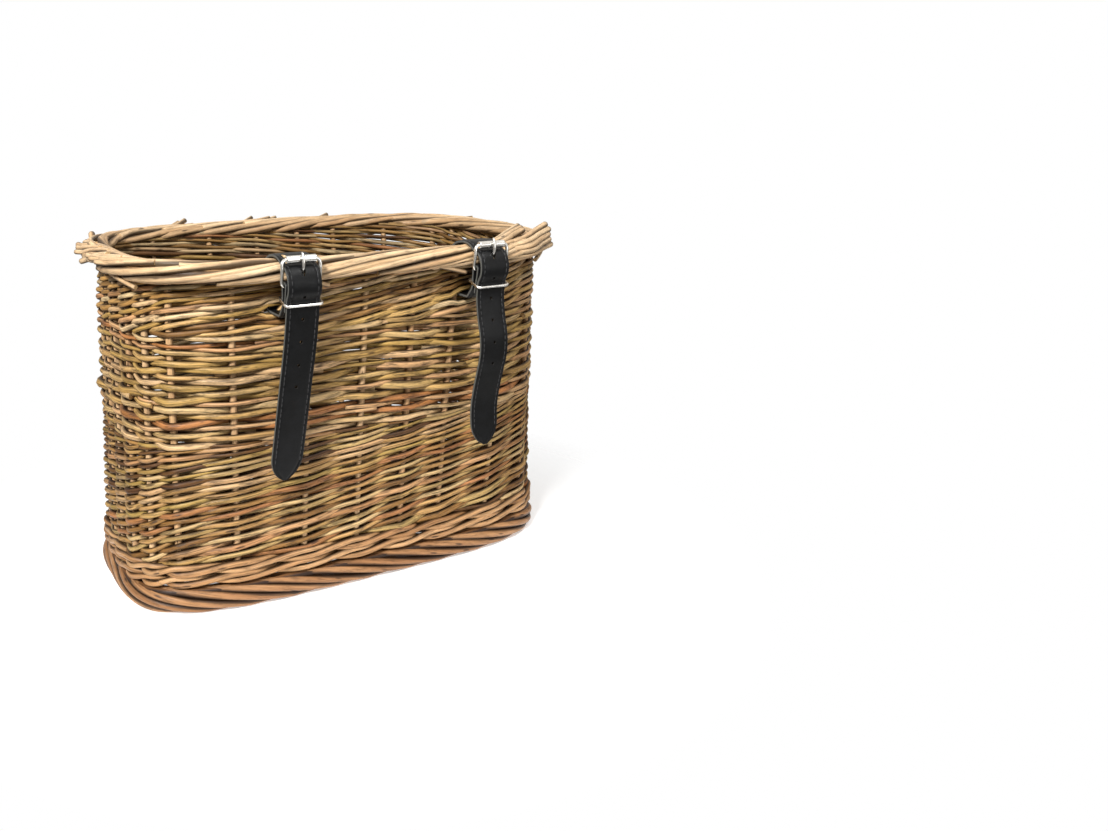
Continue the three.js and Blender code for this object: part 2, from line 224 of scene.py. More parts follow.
def floor_material():
    """Pale and plain, and clear further out, so that no edge or horizon shows against the white studio."""
    material, tree, shader = new_material("pale_floor")
    feed(tree, shader, {"Base Color": grey(0.92), "Roughness": 0.7})
    feed(tree, shader, {"Emission Color": WHITE, "Emission Strength": 0.4})
    distance = add_node(tree, "ShaderNodeVectorMath", {0: object_place(tree)}, operation="LENGTH")
    fade = span(tree, distance.outputs["Value"], *FLOOR_FADE, 0.0, 1.0)
    clear = add_node(tree, "ShaderNodeBsdfTransparent")
    mix = add_node(tree, "ShaderNodeMixShader", {0: fade, 1: shader.outputs[0], 2: clear.outputs[0]})
    feed(tree, tree.nodes["Material Output"], {"Surface": mix.outputs[0]})
    return material


# ---- Materials ----
PITH = linear(206, 172, 124)
SCAR = linear(48, 30, 20)
# Painted shadow: the dark colour that each rod's creases at its top, bottom and back are mixed towards.
PAINTED_SHADOW = linear(26, 11, 3)
# Painted shade: rods given shade, on the rim's inner side and in the borders' cores, are multiplied towards
# this tint.
PAINTED_SHADE_TINT = linear(188, 172, 154)
# Noise cells a metre: along a rod, and across it both ways.
PATCHES = (22.0, 160.0, 160.0)
STREAKS = (38.0, 1300.0, 1300.0)
BLOTCHES = (80.0, 420.0, 420.0)
BUDS = (46.0, 210.0, 210.0)
WILLOW_RELIEF = 0.35 * MM
LEATHER_RELIEF = 0.12 * MM
NICKEL_RELIEF = 0.03 * MM


def willow(name, shades, mottle, mottle_share, streak_depth=0.68, crease_shade_depth=1.0):
    """Rods with a shade each, streaked lengthways, scarred by buds, with painted shade in the creases and
    wherever a rod is given painted shade.
    """
    material, tree, shader = new_material(name)
    grain = attribute(tree, "grain", "Vector")
    steps = [(i / (len(shades) - 1), linear(*shade)) for i, shade in enumerate(shades)]
    own = ramp(tree, attribute(tree, "tone"), steps)
    patches = noise(tree, stretched(tree, grain, PATCHES), 1.0, 2.0)
    patchy = blended(tree, span(tree, patches, 0.45, 0.7, 0.0, mottle_share), own, linear(*mottle))
    streaks = noise(tree, stretched(tree, grain, STREAKS), 1.0, 4.0, 0.65)
    light = ramp(tree, streaks, [(0.34, grey(1 - streak_depth)), (0.5, grey(0.9)), (0.62, grey(1.0))])
    streaked = blended(tree, 1.0, patchy, light, "MULTIPLY")
    blotches = noise(tree, stretched(tree, grain, BLOTCHES), 1.0, 4.0, 0.7)
    deepest = grey(1 - 0.9 * streak_depth)
    dark = ramp(tree, blotches, [(0.36, deepest), (0.48, grey(0.94)), (0.6, grey(1.06))])
    blotched = blended(tree, 1.0, streaked, dark, "MULTIPLY")
    buds = span(tree, cells(tree, stretched(tree, grain, BUDS), 1.0), 0.1, 0.19, 0.8, 0.0)
    scarred = blended(tree, buds, blotched, SCAR)
    # Painted shade: the shade attribute multiplies the colour towards a darker tint.
    shaded = blended(tree, attribute(tree, "shade"), scarred, PAINTED_SHADE_TINT, "MULTIPLY")
    # Painted shade: each rod's creases at its top, bottom and back are mixed towards a dark shadow colour.
    crease = span(tree, attribute(tree, "crease"), 0.53, 0.94, 0.0, crease_shade_depth)
    coloured = blended(tree, attribute(tree, "cut"), blended(tree, crease, shaded, PAINTED_SHADOW), PITH)
    roughness = span(tree, streaks, 0.35, 0.65, 0.6, 0.34)
    feed(tree, shader, {"Base Color": coloured, "Roughness": roughness, "Specular IOR Level": 0.3})
    bump(tree, shader, streaks, WILLOW_RELIEF, 0.8)
    return material


def leather(name):
    """Black grained leather, worn in patches, with greyer raw edges."""
    material, tree, shader = new_material(name)
    place = object_place(tree)
    wear = noise(tree, place, 120.0, 4.0, 0.6)
    fine = noise(tree, place, 700.0, 3.0, 0.6)
    black = blended(tree, span(tree, wear, 0.35, 0.7, 0.0, 1.0), linear(6, 7, 8), linear(15, 16, 18))
    edge = span(tree, attribute(tree, "edge"), 0.6, 1.0, 0.0, 1.0)
    feed(tree, shader, {"Base Color": blended(tree, edge, black, linear(92, 92, 88))})
    feed(tree, shader, {"Roughness": span(tree, fine, 0.3, 0.7, 0.34, 0.52), "Specular IOR Level": 0.2})
    relief = add_node(tree, "ShaderNodeMath", {0: cells(tree, place, 1100.0), 1: fine}, operation="ADD")
    bump(tree, shader, relief.outputs[0], LEATHER_RELIEF, 0.5)
    return material


def raw_edge(name):
    material, tree, shader = new_material(name)
    fibres = noise(tree, object_place(tree), 900.0)
    colour = blended(tree, fibres, linear(20, 19, 18), linear(60, 58, 54))
    feed(tree, shader, {"Base Color": colour, "Roughness": 0.8, "Specular IOR Level": 0.2})
    return material


def thread(name):
    material, tree, shader = new_material(name)
    twist = noise(tree, object_place(tree), 2400.0, 1.0)
    colour = blended(tree, twist, linear(22, 22, 24), linear(62, 62, 64))
    feed(tree, shader, {"Base Color": colour, "Roughness": 0.7})
    return material


def nickel(name):
    """Bright plating, dulled a little by handling."""
    material, tree, shader = new_material(name)
    handled = noise(tree, object_place(tree), 260.0, 4.0, 0.65)
    colour = blended(tree, handled, linear(222, 221, 217), linear(246, 245, 242))
    roughness = span(tree, handled, 0.35, 0.7, 0.14, 0.34)
    feed(tree, shader, {"Base Color": colour, "Metallic": 1.0, "Roughness": roughness})
    bump(tree, shader, handled, NICKEL_RELIEF, 0.4)
    return material


# ---- Mesh helpers ----
def unit(vectors):
    return vectors / np.maximum(np.linalg.norm(vectors, axis=-1, keepdims=True), 1e-12)


def lengths(points):
    """The distance along a line at each of its points."""
    return np.concatenate([[0], np.cumsum(np.linalg.norm(np.diff(points, axis=0), axis=1))])


def mesh_object(name, verts, faces):
    mesh = bpy.data.meshes.new(name)
    mesh.from_pydata(verts, [], faces)
    mesh.update()
    obj = bpy.data.objects.new(name, mesh)
    bpy.context.scene.collection.objects.link(obj)
    return obj


def quads_between(here, there):
    """Faces between rings of vertex numbers and the next ones."""
    return np.stack([here, np.roll(here, -1, 1), np.roll(there, -1, 1), there], -1).reshape(-1, 4)


def set_attribute(mesh, name, kind, domain, values):
    field = "vector" if kind == "FLOAT_VECTOR" else "value"
    mesh.attributes.new(name, kind, domain).data.foreach_set(field, np.asarray(values, np.float32).ravel())


class Bundle:
    """Many round rods in one mesh, with the attributes that the materials read."""

    def __init__(self, name, sides=8):
        self.name = name
        self.sides = sides
        self.verts, self.quads, self.caps = [], [], []
        self.layers = {"tone": [], "crease": [], "shade": [], "grain": []}
        self.count = 0

    # shade is painted shade: it multiplies the rod towards a darker tint and deepens its crease shade.
    def add(self, points, radii, outward, tone=0.5, closed=False, shade=0.0):
        """One rod along points. outward is a direction, or one a point, that is never along the rod."""
        points = np.asarray(points, float)
        radii = np.broadcast_to(np.asarray(radii, float), len(points))
        outward = np.broadcast_to(np.asarray(outward, float), points.shape)
        if closed:
            tangent = unit(np.roll(points, -1, 0) - np.roll(points, 1, 0))
        else:
            tangent = unit(np.gradient(points, axis=0))
        side = unit(outward - (outward * tangent).sum(1)[:, None] * tangent)
        other = np.cross(tangent, side)
        angle = np.arange(self.sides) * 2 * math.pi / self.sides
        round_it = np.stack([np.cos(angle), np.sin(angle)], -1)
        ring = side[:, None] * round_it[None, :, :1] + other[:, None] * round_it[None, :, 1:]
        self.verts.append((points[:, None] + ring * radii[:, None, None]).reshape(-1, 3))
        self.add_looks(points, radii, round_it, tone, shade)
        index = self.count + np.arange(len(points) * self.sides).reshape(-1, self.sides)
        here, there = (index, np.roll(index, -1, 0)) if closed else (index[:-1], index[1:])
        self.quads.append(quads_between(here, there))
        if not closed:
            self.caps += [index[0][::-1].tolist(), index[-1].tolist()]
        self.count += len(points) * self.sides

    def add_looks(self, points, radii, round_it, tone, shade):
        """A rod's own shade and grain, painted shade in the creases at its sides and behind, and the
        painted shade that it is given.
        """
        grain = np.empty((len(points), self.sides, 3))
        grain[..., 0] = (lengths(points) + rng.uniform(0, 4))[:, None]
        grain[..., 1:] = round_it[None] * radii[:, None, None] + rng.uniform(-1, 1, 2)
        # Painted shade in the creases: strongest at the rod's top and bottom, where it meets its
        # neighbours, and on its back. Given painted shade deepens it.
        crease = np.maximum(np.abs(round_it[:, 1]), np.where(round_it[:, 0] < -0.1, 0.72, 0.0))
        shades = np.repeat(np.broadcast_to(shade, len(points)), self.sides)
        self.layers["tone"].append(np.full(len(points) * self.sides, tone))
        self.layers["crease"].append(np.tile(crease, len(points)) + 0.15 * shades)
        self.layers["shade"].append(shades)
        self.layers["grain"].append(grain.reshape(-1, 3))

    def build(self):
        quads = np.concatenate(self.quads).tolist()
        obj = mesh_object(self.name, np.concatenate(self.verts), quads + self.caps)
        smooth = np.arange(len(quads) + len(self.caps)) < len(quads)
        obj.data.polygons.foreach_set("use_smooth", smooth)
        for name, values in self.layers.items():
            kind = "FLOAT_VECTOR" if name == "grain" else "FLOAT"
            set_attribute(obj.data, name, kind, "POINT", np.concatenate(values))
        set_attribute(obj.data, "cut", "FLOAT", "FACE", ~smooth)
        return obj


def place(obj, material, body, slot, nodes=()):
    """Gives a piece its look and the body it rides on, and hides the CAD nodes that it stands for."""
    obj.data.materials.append(material)
    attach(obj, body)
    if nodes:
        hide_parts(*nodes)


def spline(points, count):
    """A smooth line through given points, sampled evenly by length."""
    points = np.asarray(points, float)
    padded = np.vstack([2 * points[0] - points[1], points, 2 * points[-1] - points[-2]])
    t = np.linspace(0, 1, 24, endpoint=False)[:, None]
    fine = []
    for i in range(len(points) - 1):
        a, b, c, d = padded[i : i + 4]
        line = 2 * b + (c - a) * t + (2 * a - 5 * b + 4 * c - d) * t**2 + (3 * b - a - 3 * c + d) * t**3
        fine.append(0.5 * line)
    return evenly(np.vstack([*fine, points[-1:]]), count)


def evenly(points, count):
    length = lengths(points)
    wanted = np.linspace(0, length[-1], count)
    return np.stack([np.interp(wanted, length, row) for row in points.T], -1)


def wavy(count, waves, size):
    """Smooth random wandering along a rod."""
    t = np.linspace(0, 1, count)
    phases = rng.uniform(0, 2 * math.pi, 3)
    parts = [np.sin(2 * math.pi * waves * (k + 1) * t + p) / (k + 1) for k, p in enumerate(phases)]
    return size * sum(parts) / 1.8


# ---- The wall: stakes and the surface that they carry ----
STAKE_NODES = sorted(name for name in frame["nodes"] if name.startswith("stake_"))
STAKE_COUNT = len(STAKE_NODES)
STAKE_RADIUS = 2.5 * MM
STEPS_PER_STAKE = 10
TUCK = 0.3  # how far a rod runs on past the stakes at its ends, in stakes
PRESS = 0.74  # how much of a rod's radius stands off the stakes that it bends round
# The front right corner, in stakes, where the rows ride up and the rods are slim.
CORNER = 4.6
CORNER_SPREAD = 2.5
CORNER_RISE = 7.0 * MM
CORNER_SLIM = 0.2
# Rows stray from level, less so near the rim. The corner's rise fades out at the rim and at the foot.
ROW_WANDER = 0.5 * MM
CALM_HEIGHT = 20 * MM
RISE_START = 45 * MM
RISE_FADE = 60 * MM

STRAP_X = [JOINTS[f"{side}_tail_swing"]["pos_m"][0] for side in ("left", "right")]
STRAP_HALF = 11 * MM
SLOT_Z = 207.6 * MM  # where the straps go through the wall
SLOT_REACH = 15 * MM  # how far up and down the rods are pushed aside
SLOT_SIDE = 7 * MM  # how far beside the strap they begin to bend, and over what width
SLOT_EASE = 6 * MM
SLOT_PUSH = 2.7 * MM


def stake_ends():
    """The middle of each stake's bottom and top, from its CAD mesh."""
    lows, highs = [], []
    for name in STAKE_NODES:
        points = np.array([v.co for v in frame["nodes"][name].data.vertices])
        middle = (points[:, 2].min() + points[:, 2].max()) / 2
        lows.append(points[points[:, 2] < middle].mean(0))
        highs.append(points[points[:, 2] > middle].mean(0))
    return np.array(lows), np.array(highs)


STAKE_LOW, STAKE_HIGH = stake_ends()


def stake_at(index, z):
    low, high = STAKE_LOW[index % STAKE_COUNT], STAKE_HIGH[index % STAKE_COUNT]
    share = (z - low[..., 2]) / (high[..., 2] - low[..., 2])
    return low + (high - low) * share[..., None]


def wall_at(s, z):
    """Points of the wall's middle and its outward direction. s counts stakes: 0 is the first stake."""
    i = np.floor(s).astype(int)
    t = (s - i)[:, None]
    before, start, end, after = (stake_at(i + k, z) for k in (-1, 0, 1, 2))
    chord = end - start
    length = np.linalg.norm(chord, axis=1)[:, None]
    leave = unit(unit(start - before) + unit(chord)) * length
    arrive = unit(unit(chord) + unit(after - end)) * length
    first = (2 * t**3 - 3 * t**2 + 1) * start + (t**3 - 2 * t**2 + t) * leave
    point = first + (3 * t**2 - 2 * t**3) * end + (t**3 - t**2) * arrive
    slope = (6 * t**2 - 6 * t) * (start - end) + (3 * t**2 - 4 * t + 1) * leave
    slope = slope + (3 * t**2 - 2 * t) * arrive
    return point, unit(np.cross(unit(slope), UP))


def in_and_out(s, row, radii):
    """How far a rod stands off the wall's middle: in front of a stake, behind the next, pressed to both."""
    wave = np.pi * (s + row)
    bent = (np.cos(wave) + 0.1 * np.cos(3 * wave)) / 1.1
    return bent * (STAKE_RADIUS * 0.5 + radii * PRESS)


def parted(points):
    """Rods near a strap's slot bend up or down to let the leather through."""
    points = points.copy()
    front = points[:, 1] < 0
    for x in STRAP_X:
        aside = np.abs(points[:, 0] - x)
        near = np.clip((STRAP_HALF + SLOT_SIDE - aside) / SLOT_EASE, 0, 1)
        rise = points[:, 2] - SLOT_Z
        push = SLOT_PUSH * np.clip(1 - np.abs(rise) / SLOT_REACH, 0, 1)
        points[:, 2] += np.where(front, near * near * (3 - 2 * near) * push * np.sign(rise), 0)
    return points


def near_corner(s):
    return np.exp(-(((s % STAKE_COUNT) - CORNER) ** 2) / CORNER_SPREAD)


def wander_of_rows():
    """How far rows stray from level: a little all round, and up at the front right corner."""
    phases = rng.uniform(0, 2 * math.pi, 4)
    rim_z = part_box("top_border")[0].z

    def sag(s, z):
        turn = 2 * math.pi * s / STAKE_COUNT
        wander = ROW_WANDER * sum(np.sin(turn * (k + 2) + p) for k, p in enumerate(phases))
        room = np.clip((rim_z - z) / RISE_FADE, 0, 1) * np.clip((z - RISE_START) / RISE_FADE, 0, 1)
        return wander * np.clip((rim_z - z) / CALM_HEIGHT, 0.2, 1) + near_corner(s) * CORNER_RISE * room

    return sag


# ---- Woven bands ----
ROW_PACKING = 1.7  # row spacing as a share of the rods' radius
PLAIN_RODS = (5, 10)  # from how many to how many stakes a rod of plain weave mostly passes
# A rod of French randing climbs so much faster than its mean at first, and so much slower at last.
FRENCH_CURVE = 0.28
LOWER_ROD = 2.0 * MM
LOWER_REACH = 16  # about how many stakes a rod of French randing passes
MIDDLE_ROD = 2.35 * MM
MIDDLE_SPREAD = 0.24  # how much the rows' rods differ in thickness
UPPER_ROD = 1.78 * MM
UPPER_REACH = 9
UPPER_EXTRA = 9 * MM  # how far the upper weave runs on above its CAD band, into the rim
WALE_ROUNDS = 2
WALE_STROKES = 3
WALE_PARTS = 4  # rods pieced end to end in a stroke's round
WALE_RADIUS = 2.3 * MM
WALE_TUCK = 0.4


def weaver(bundle, row, z, start, spans, radius, tone, sag):
    """One rod woven plain over some stakes, tucked in at both ends."""
    count = int((spans + 2 * TUCK) * STEPS_PER_STAKE)
    s = np.linspace(start - TUCK, start + spans + TUCK, count)
    share = np.linspace(0, 1, count)
    tilt = rng.uniform(-0.8, 0.8) * radius * (share - 0.5)
    heights = z + sag(s, z) + tilt + wavy(count, spans / 3, 0.55 * radius)
    point, outward = wall_at(s, heights)
    taper = (1 - share if rng.random() < 0.5 else share) - 0.5
    slim = 1 - CORNER_SLIM * near_corner(s)
    radii = radius * (1 + 0.5 * taper) * (1 + wavy(count, spans / 1.5, 0.08)) * slim
    nearness = np.exp(-share * spans / 0.5) - np.exp(-(1 - share) * spans / 0.5)
    lean = in_and_out(s, row, radii)
    lean += np.abs(nearness) * radius * np.sign(lean) * 0.3
    point = parted(point + outward * lean[:, None] + UP * (nearness * radius * 0.5)[:, None])
    bundle.add(point, radii, outward, tone)


def row_radii(height, mean, spread):
    """Rods of wandering thickness, enough of them to fill a band when each sits close on the last."""
    radii, filled, drift = [], 0.0, 0.0
    while filled < height:
        drift = 0.6 * drift + rng.normal(0, 0.6)
        radius = mean * float(np.clip(1 + spread * drift, 0.66, 1.3))
        radii.append(radius)
        filled += radius * ROW_PACKING
    radii = np.array(radii)
    tops = np.cumsum(radii)
    return radii, (tops - radii / 2) / tops[-1] * height


def siding(name, node, radius, spread):
    """A band of plain weave between the CAD band's bottom and top."""
    low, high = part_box(node)
    bundle = Bundle(name)
    radii, levels = row_radii(high.z - low.z, radius, spread)
    sag = wander_of_rows()
    tone = rng.random()
    for row, (row_radius, level) in enumerate(zip(radii, levels)):
        start = int(rng.integers(STAKE_COUNT))
        end = start + STAKE_COUNT
        tone = rng.random() if rng.random() < 0.4 else tone
        while start < end:
            spans = int(rng.integers(*PLAIN_RODS))
            if (start + spans + row) % 2 == 0 and rng.random() < 0.7:
                spans += 1
            if end - start - spans < 4:
                spans = end - start
            own = float(np.clip(0.45 * tone + 0.55 * rng.random() + rng.normal(0, 0.08), 0, 1))
            size = row_radius * rng.uniform(0.9, 1.1)
            weaver(bundle, row, low.z + level, start, spans, size, own, sag)
            start += spans
    return bundle.build()


def french_siding(name, node, reach, radius, extra=0.0):
    """French randing in pairs: two rods start at every stake and climb by their own thickness a stake."""
    low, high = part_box(node)
    bundle = Bundle(name)
    tall = high.z + extra - low.z
    sag = wander_of_rows()
    for start in range(STAKE_COUNT):
        for rod in range(2):
            length = reach + rng.uniform(-0.3, 0.6)
            lead = TUCK + (start + rod + 1) % 2  # so that every butt is behind a stake
            count = int((lead + length + TUCK) * STEPS_PER_STAKE)
            s = np.linspace(start - lead, start + length + TUCK, count)
            share = np.clip((s - start + rod / 2) / reach, 0, 1)
            z = low.z + tall * ((1 + FRENCH_CURVE) * share - FRENCH_CURVE * share**2)
            z = z + sag(s, z) + wavy(count, length / 3, 0.5 * radius)
            radii = radius * rng.uniform(0.8, 1.16) * (1.24 - 0.5 * share) * (1 + wavy(count, 5, 0.08))
            radii = radii * (1 - CORNER_SLIM * near_corner(s))
            point, outward = wall_at(s, z)
            point = parted(point + outward * in_and_out(s, rod, radii)[:, None])
            bundle.add(point, radii, outward, rng.random())
    return bundle.build()


def between(values, s):
    """A smooth repeating curve through one value a stake."""
    i = np.floor(s).astype(int)
    t = s - i
    t = t * t * (3 - 2 * t)
    values = np.asarray(values, float)
    return values[i % len(values)] * (1 - t) + values[(i + 1) % len(values)] * t


def waling(name, node):
    """Three-rod waling: each rod passes in front of two stakes and behind the third."""
    low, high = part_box(node)
    bundle = Bundle(name, 10)
    pitch = (high.z - low.z) / WALE_ROUNDS
    spans = STAKE_COUNT / WALE_PARTS
    count = int((spans + 2 * WALE_TUCK) * STEPS_PER_STAKE)
    for turn, rod, part in np.ndindex(WALE_ROUNDS, WALE_STROKES, WALE_PARTS):
        start = rod + part * spans - WALE_TUCK
        s = np.linspace(start, start + spans + 2 * WALE_TUCK, count)
        lean = between([1.0, 1.0, -1.0], s - rod)
        rise = between([-0.5, 0.5, 0.0], s - rod) * pitch * 0.66
        radii = WALE_RADIUS * rng.uniform(0.86, 1.04) * (1 + wavy(count, 3, 0.04))
        z = low.z + (turn + 0.5) * pitch + rise + wavy(count, 2, 0.3 * MM)
        point, outward = wall_at(s, z)
        point = point + outward * (lean * (STAKE_RADIUS + radii * 0.95))[:, None]
        bundle.add(point, radii, outward, rng.random())
    return bundle.build()


# ---- Rolled borders ----
RING_STEPS = 2880
CORE_STEPS = 240


def oblong(angle, half, squareness):
    """A bowed oblong about the origin, as pairs at the given angles."""
    c, s = np.cos(angle), np.sin(angle)
    reach = (np.abs(c / half[0]) ** squareness + np.abs(s / half[1]) ** squareness) ** (-1 / squareness)
    return np.stack([reach * c, reach * s], -1)


class Ring:
    """The middle line of a border: an oblong that follows the CAD border's box, from the front middle."""

    def __init__(self, node, thick, squareness, draw_in=None):
        low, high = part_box(node)
        angle = np.linspace(-0.25, 0.75, RING_STEPS + 1) * 2 * math.pi
        half = np.array([high.x - low.x, high.y - low.y]) / 2 - thick / 2
        self.middle = (low + high) / 2
        self.half_tall = (high.z - low.z) / 2
        self.plan = oblong(angle, half, squareness) + np.array(self.middle.xy)
        self.plan = draw_in(self.plan) if draw_in else self.plan
        self.length = lengths(self.plan)

    def plan_at(self, distance):
        wrapped = np.mod(distance, self.length[-1])
        return np.stack([np.interp(wrapped, self.length, row) for row in self.plan.T], -1)

    def at(self, distance):
        """Points on the middle line and their outward directions."""
        flat = self.plan_at(distance)
        step = 2 * MM
        slope = self.plan_at(distance + step) - self.plan_at(distance - step)
        along = unit(np.column_stack([slope, np.zeros(len(slope))]))
        return np.column_stack([flat, np.full(len(flat), self.middle.z)]), np.cross(along, UP)

    def on_section(self, distance, angle, across, tall, drop=0.0):
        """Points on the oval section, lowered by drop but not past its bottom, and the directions out."""
        point, outward = self.at(distance)
        height = np.maximum(tall * np.sin(angle) - drop, -tall)
        facing = outward * np.cos(angle)[:, None] + UP * np.sin(angle)[:, None]
        return point + outward * (across * np.cos(angle))[:, None] + UP * height[:, None], facing

    def add_core(self, bundle, places, radius, tone, shade):
        """Rods that fill the border, darkened by painted shade: places are pairs of mm out and up from its
        middle.
        """
        point, outward = self.at(np.linspace(0, self.length[-1], CORE_STEPS, endpoint=False))
        for across, rise in places:
            line = point + outward * across * MM + UP * rise * MM
            bundle.add(line, radius, UP, tone, closed=True, shade=shade)


TOP_SQUARENESS = 3.15
TOP_THICK = 21 * MM
TOP_ROD = 2.6 * MM
TOP_STRANDS = 36
TOP_TRAVEL = 10.6  # strand pitches from a strand's start inside to its end outside
TOP_CORE = ((-4.6, 0.4), (0.0, 1.0), (4.2, 0.2), (0.0, -3.4))
TOP_CORE_ROD = 2.7 * MM
LOOSE_ENDS = 7
LOOSE_ROD = 1.9 * MM
END_SINK = 1.4 * MM  # how far a cut end lies inside the border's skin

# Cut ends that stand off the rim: their places, as shares of its length, and then the ranges of their run
# along it in mm, of the angle where they start and how far they turn, in degrees, and of their tips in mm.
LEFT_ENDS = (np.linspace(0.675, 0.79, 8), (30, 44), (60, 95), (40, 75), (6, 11))
BACK_ENDS = ((0.445, 0.5, 0.52, 0.585), (50, 75), (125, 140), (55, 70), (9, 13))

# Butts at the front right corner. In mm: the first one's end, in x from the box's end and in y and z from
# the rim's middle at the corner, the step in y and z from each end to the next, and how far back they
# start. The angles are the first one's and the step, in degrees on the section.
CORNER_DISTANCE = 142 * MM  # round the border from the front middle
BUTT_RUN = (-66.0, -34.0)  # where they come up and where they leave the border, in mm from the corner
BUTT_DEPTH = 4.5 * MM  # how far their starts are sunk into the border
OUTER_BUTTS = {"count": 5, "end": (-21.6, -4.4, -0.5), "step": (2.1, 3.3), "angle": (-24, 25), "back": 0.0}
UPPER_BUTTS = {"count": 3, "end": (-40.0, 2.0, 10.0), "step": (3.8, 1.0), "angle": (70, 24), "back": -24.0}


def drawn_in(plan):
    """The rim stops short of its box at both ends, and at the front right corner the butts take over."""
    low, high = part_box("top_border")
    places = np.array([low.x, low.x + 50 * MM, high.x - 50 * MM, high.x])
    x = np.interp(plan[:, 0], places, places + np.array([4.0, 0, 0, -7.0]) * MM)
    corner = np.array([high.x - 26 * MM, low.y + 22 * MM])
    near = np.exp(-((plan - corner) ** 2).sum(1) / (28 * MM) ** 2)
    return np.column_stack([x, plan[:, 1]]) + near[:, None] * np.array([-3.0, 2.4]) * MM


def with_tip(point, facing, lean, tip, steps):
    """Lets a rod run on straight past the border's skin, leaning off it."""
    away = unit(unit(point[-1] - point[-3]) + facing[-1] * lean)
    onward = point[-1] + away * (np.linspace(1 / steps, 1, steps)[:, None] * tip)
    return np.vstack([point, onward]), np.vstack([facing, np.tile(facing[-1], (steps, 1))])


def add_top_strand(bundle, ring, strand):
    """A stake's top, rolled over the rim from inside to outside as it runs clockwise."""
    count = 64
    pitch = ring.length[-1] / TOP_STRANDS
    radius = TOP_ROD * rng.uniform(0.86, 1.1)
    begin = (strand + rng.uniform(-0.25, 0.25)) * pitch
    end_angle = math.radians(rng.uniform(-85, -45))
    _, facing = ring.at(np.array([begin - pitch * TOP_TRAVEL * 0.75]))
    loose = facing[0][1] > -0.8 and rng.random() < 0.7
    if loose:
        end_angle = math.radians(rng.uniform(0, 80))
    first_angle = math.radians(rng.uniform(180, 205))
    travel = pitch * TOP_TRAVEL * (first_angle - end_angle) / math.radians(270)
    t = np.linspace(0, 1, count)
    angle = np.interp(t, [0, 0.4, 1], [first_angle, math.radians(112), end_angle])
    angle = angle + wavy(count, 1.2, 0.12)
    emerge = np.interp(t, [0, 0.14], [0.5, 1])
    across = (TOP_THICK / 2 - radius + 0.4 * MM + wavy(count, 1.5, 0.8 * MM)) * emerge
    tall = (ring.half_tall - radius + 0.3 * MM + wavy(count, 1.5, 0.7 * MM)) * emerge
    point, normal = ring.on_section(begin - travel * t, angle, across, tall)
    if loose:
        tip = rng.uniform(7, 15) * MM
        point, normal = with_tip(point, normal, rng.uniform(0.1, 0.45), tip, 5)
    radii = radius * np.linspace(1.08, 0.84, len(point)) * (1 + wavy(len(point), 4, 0.04))
    # Painted shade on the rim's inner side, growing as the strand turns inwards.
    inside = 0.55 * np.clip((np.degrees(angle) - 90) / 40, 0, 1)
    bundle.add(point, radii, normal, rng.random(), shade=np.pad(inside, (0, len(point) - count)))


def add_loose_end(bundle, ring, number):
    """A short end that shows under the rim, where a stake's tip was tucked away."""
    begin = (number + rng.uniform(0.2, 0.8)) * ring.length[-1] / LOOSE_ENDS
    direction = 1 if rng.random() < 0.5 else -1
    t = np.linspace(0, 1, 12)
    reach = rng.uniform(24, 36) * MM
    point, outward = ring.at(begin + direction * reach * t)
    point = point + outward * (TOP_THICK / 2 - 4.2 * MM - 1.5 * MM * t)[:, None]
    point = point - UP * (3 * MM + 6.8 * MM * t)[:, None]
    bundle.add(point, LOOSE_ROD * np.linspace(1, 0.8, 12), outward + UP * 0.3, rng.random())


def add_cut_ends(bundle, ring, places, run, start, turn, tip):
    t = np.linspace(0, 1, 24)
    across, tall = TOP_THICK / 2 - END_SINK, ring.half_tall - END_SINK
    for share in places:
        angle = np.radians(rng.uniform(*start) - rng.uniform(*turn) * t)
        along = ring.length[-1] * share + rng.uniform(*run) * MM * (1 - t)
        spot, facing = ring.on_section(along, angle, across, tall)
        lean = rng.uniform(0.2, 0.5)
        spot, facing = with_tip(spot, facing, lean, rng.uniform(*tip) * MM, 4)
        radii = TOP_ROD * rng.uniform(0.66, 0.86) * np.linspace(1.1, 0.9, len(spot))
        bundle.add(spot, radii, facing, rng.random())


def add_corner_butts(bundle, ring, butts):
    """Blunt butts where the border's last rods were threaded in and cut."""
    count = 30
    along = CORNER_DISTANCE + (np.array(BUTT_RUN) + butts["back"]) * MM
    rim, _ = ring.at(np.array([CORNER_DISTANCE]))
    across, tall = TOP_THICK / 2 - 0.5 * MM, ring.half_tall - 0.5 * MM
    first = np.array([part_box("top_border")[1].x, rim[0][1], ring.middle.z]) + np.array(butts["end"]) * MM
    for k in range(butts["count"]):
        angle = np.radians(np.full(2, butts["angle"][0] + k * butts["angle"][1]))
        spot, facing = ring.on_section(along, angle, across, tall)
        end = first + np.array([rng.uniform(-6, 1), *butts["step"]]) * np.array([1, k, k]) * MM
        spot[0] = spot[0] - facing[0] * BUTT_DEPTH
        line = spline(np.vstack([spot, spot[-1] * 0.4 + end * 0.6, end]), count)
        radii = TOP_ROD * rng.uniform(0.74, 0.94) * np.linspace(0.9, 1.05, count)
        bundle.add(line, radii, np.tile(facing[0], (count, 1)), rng.random())


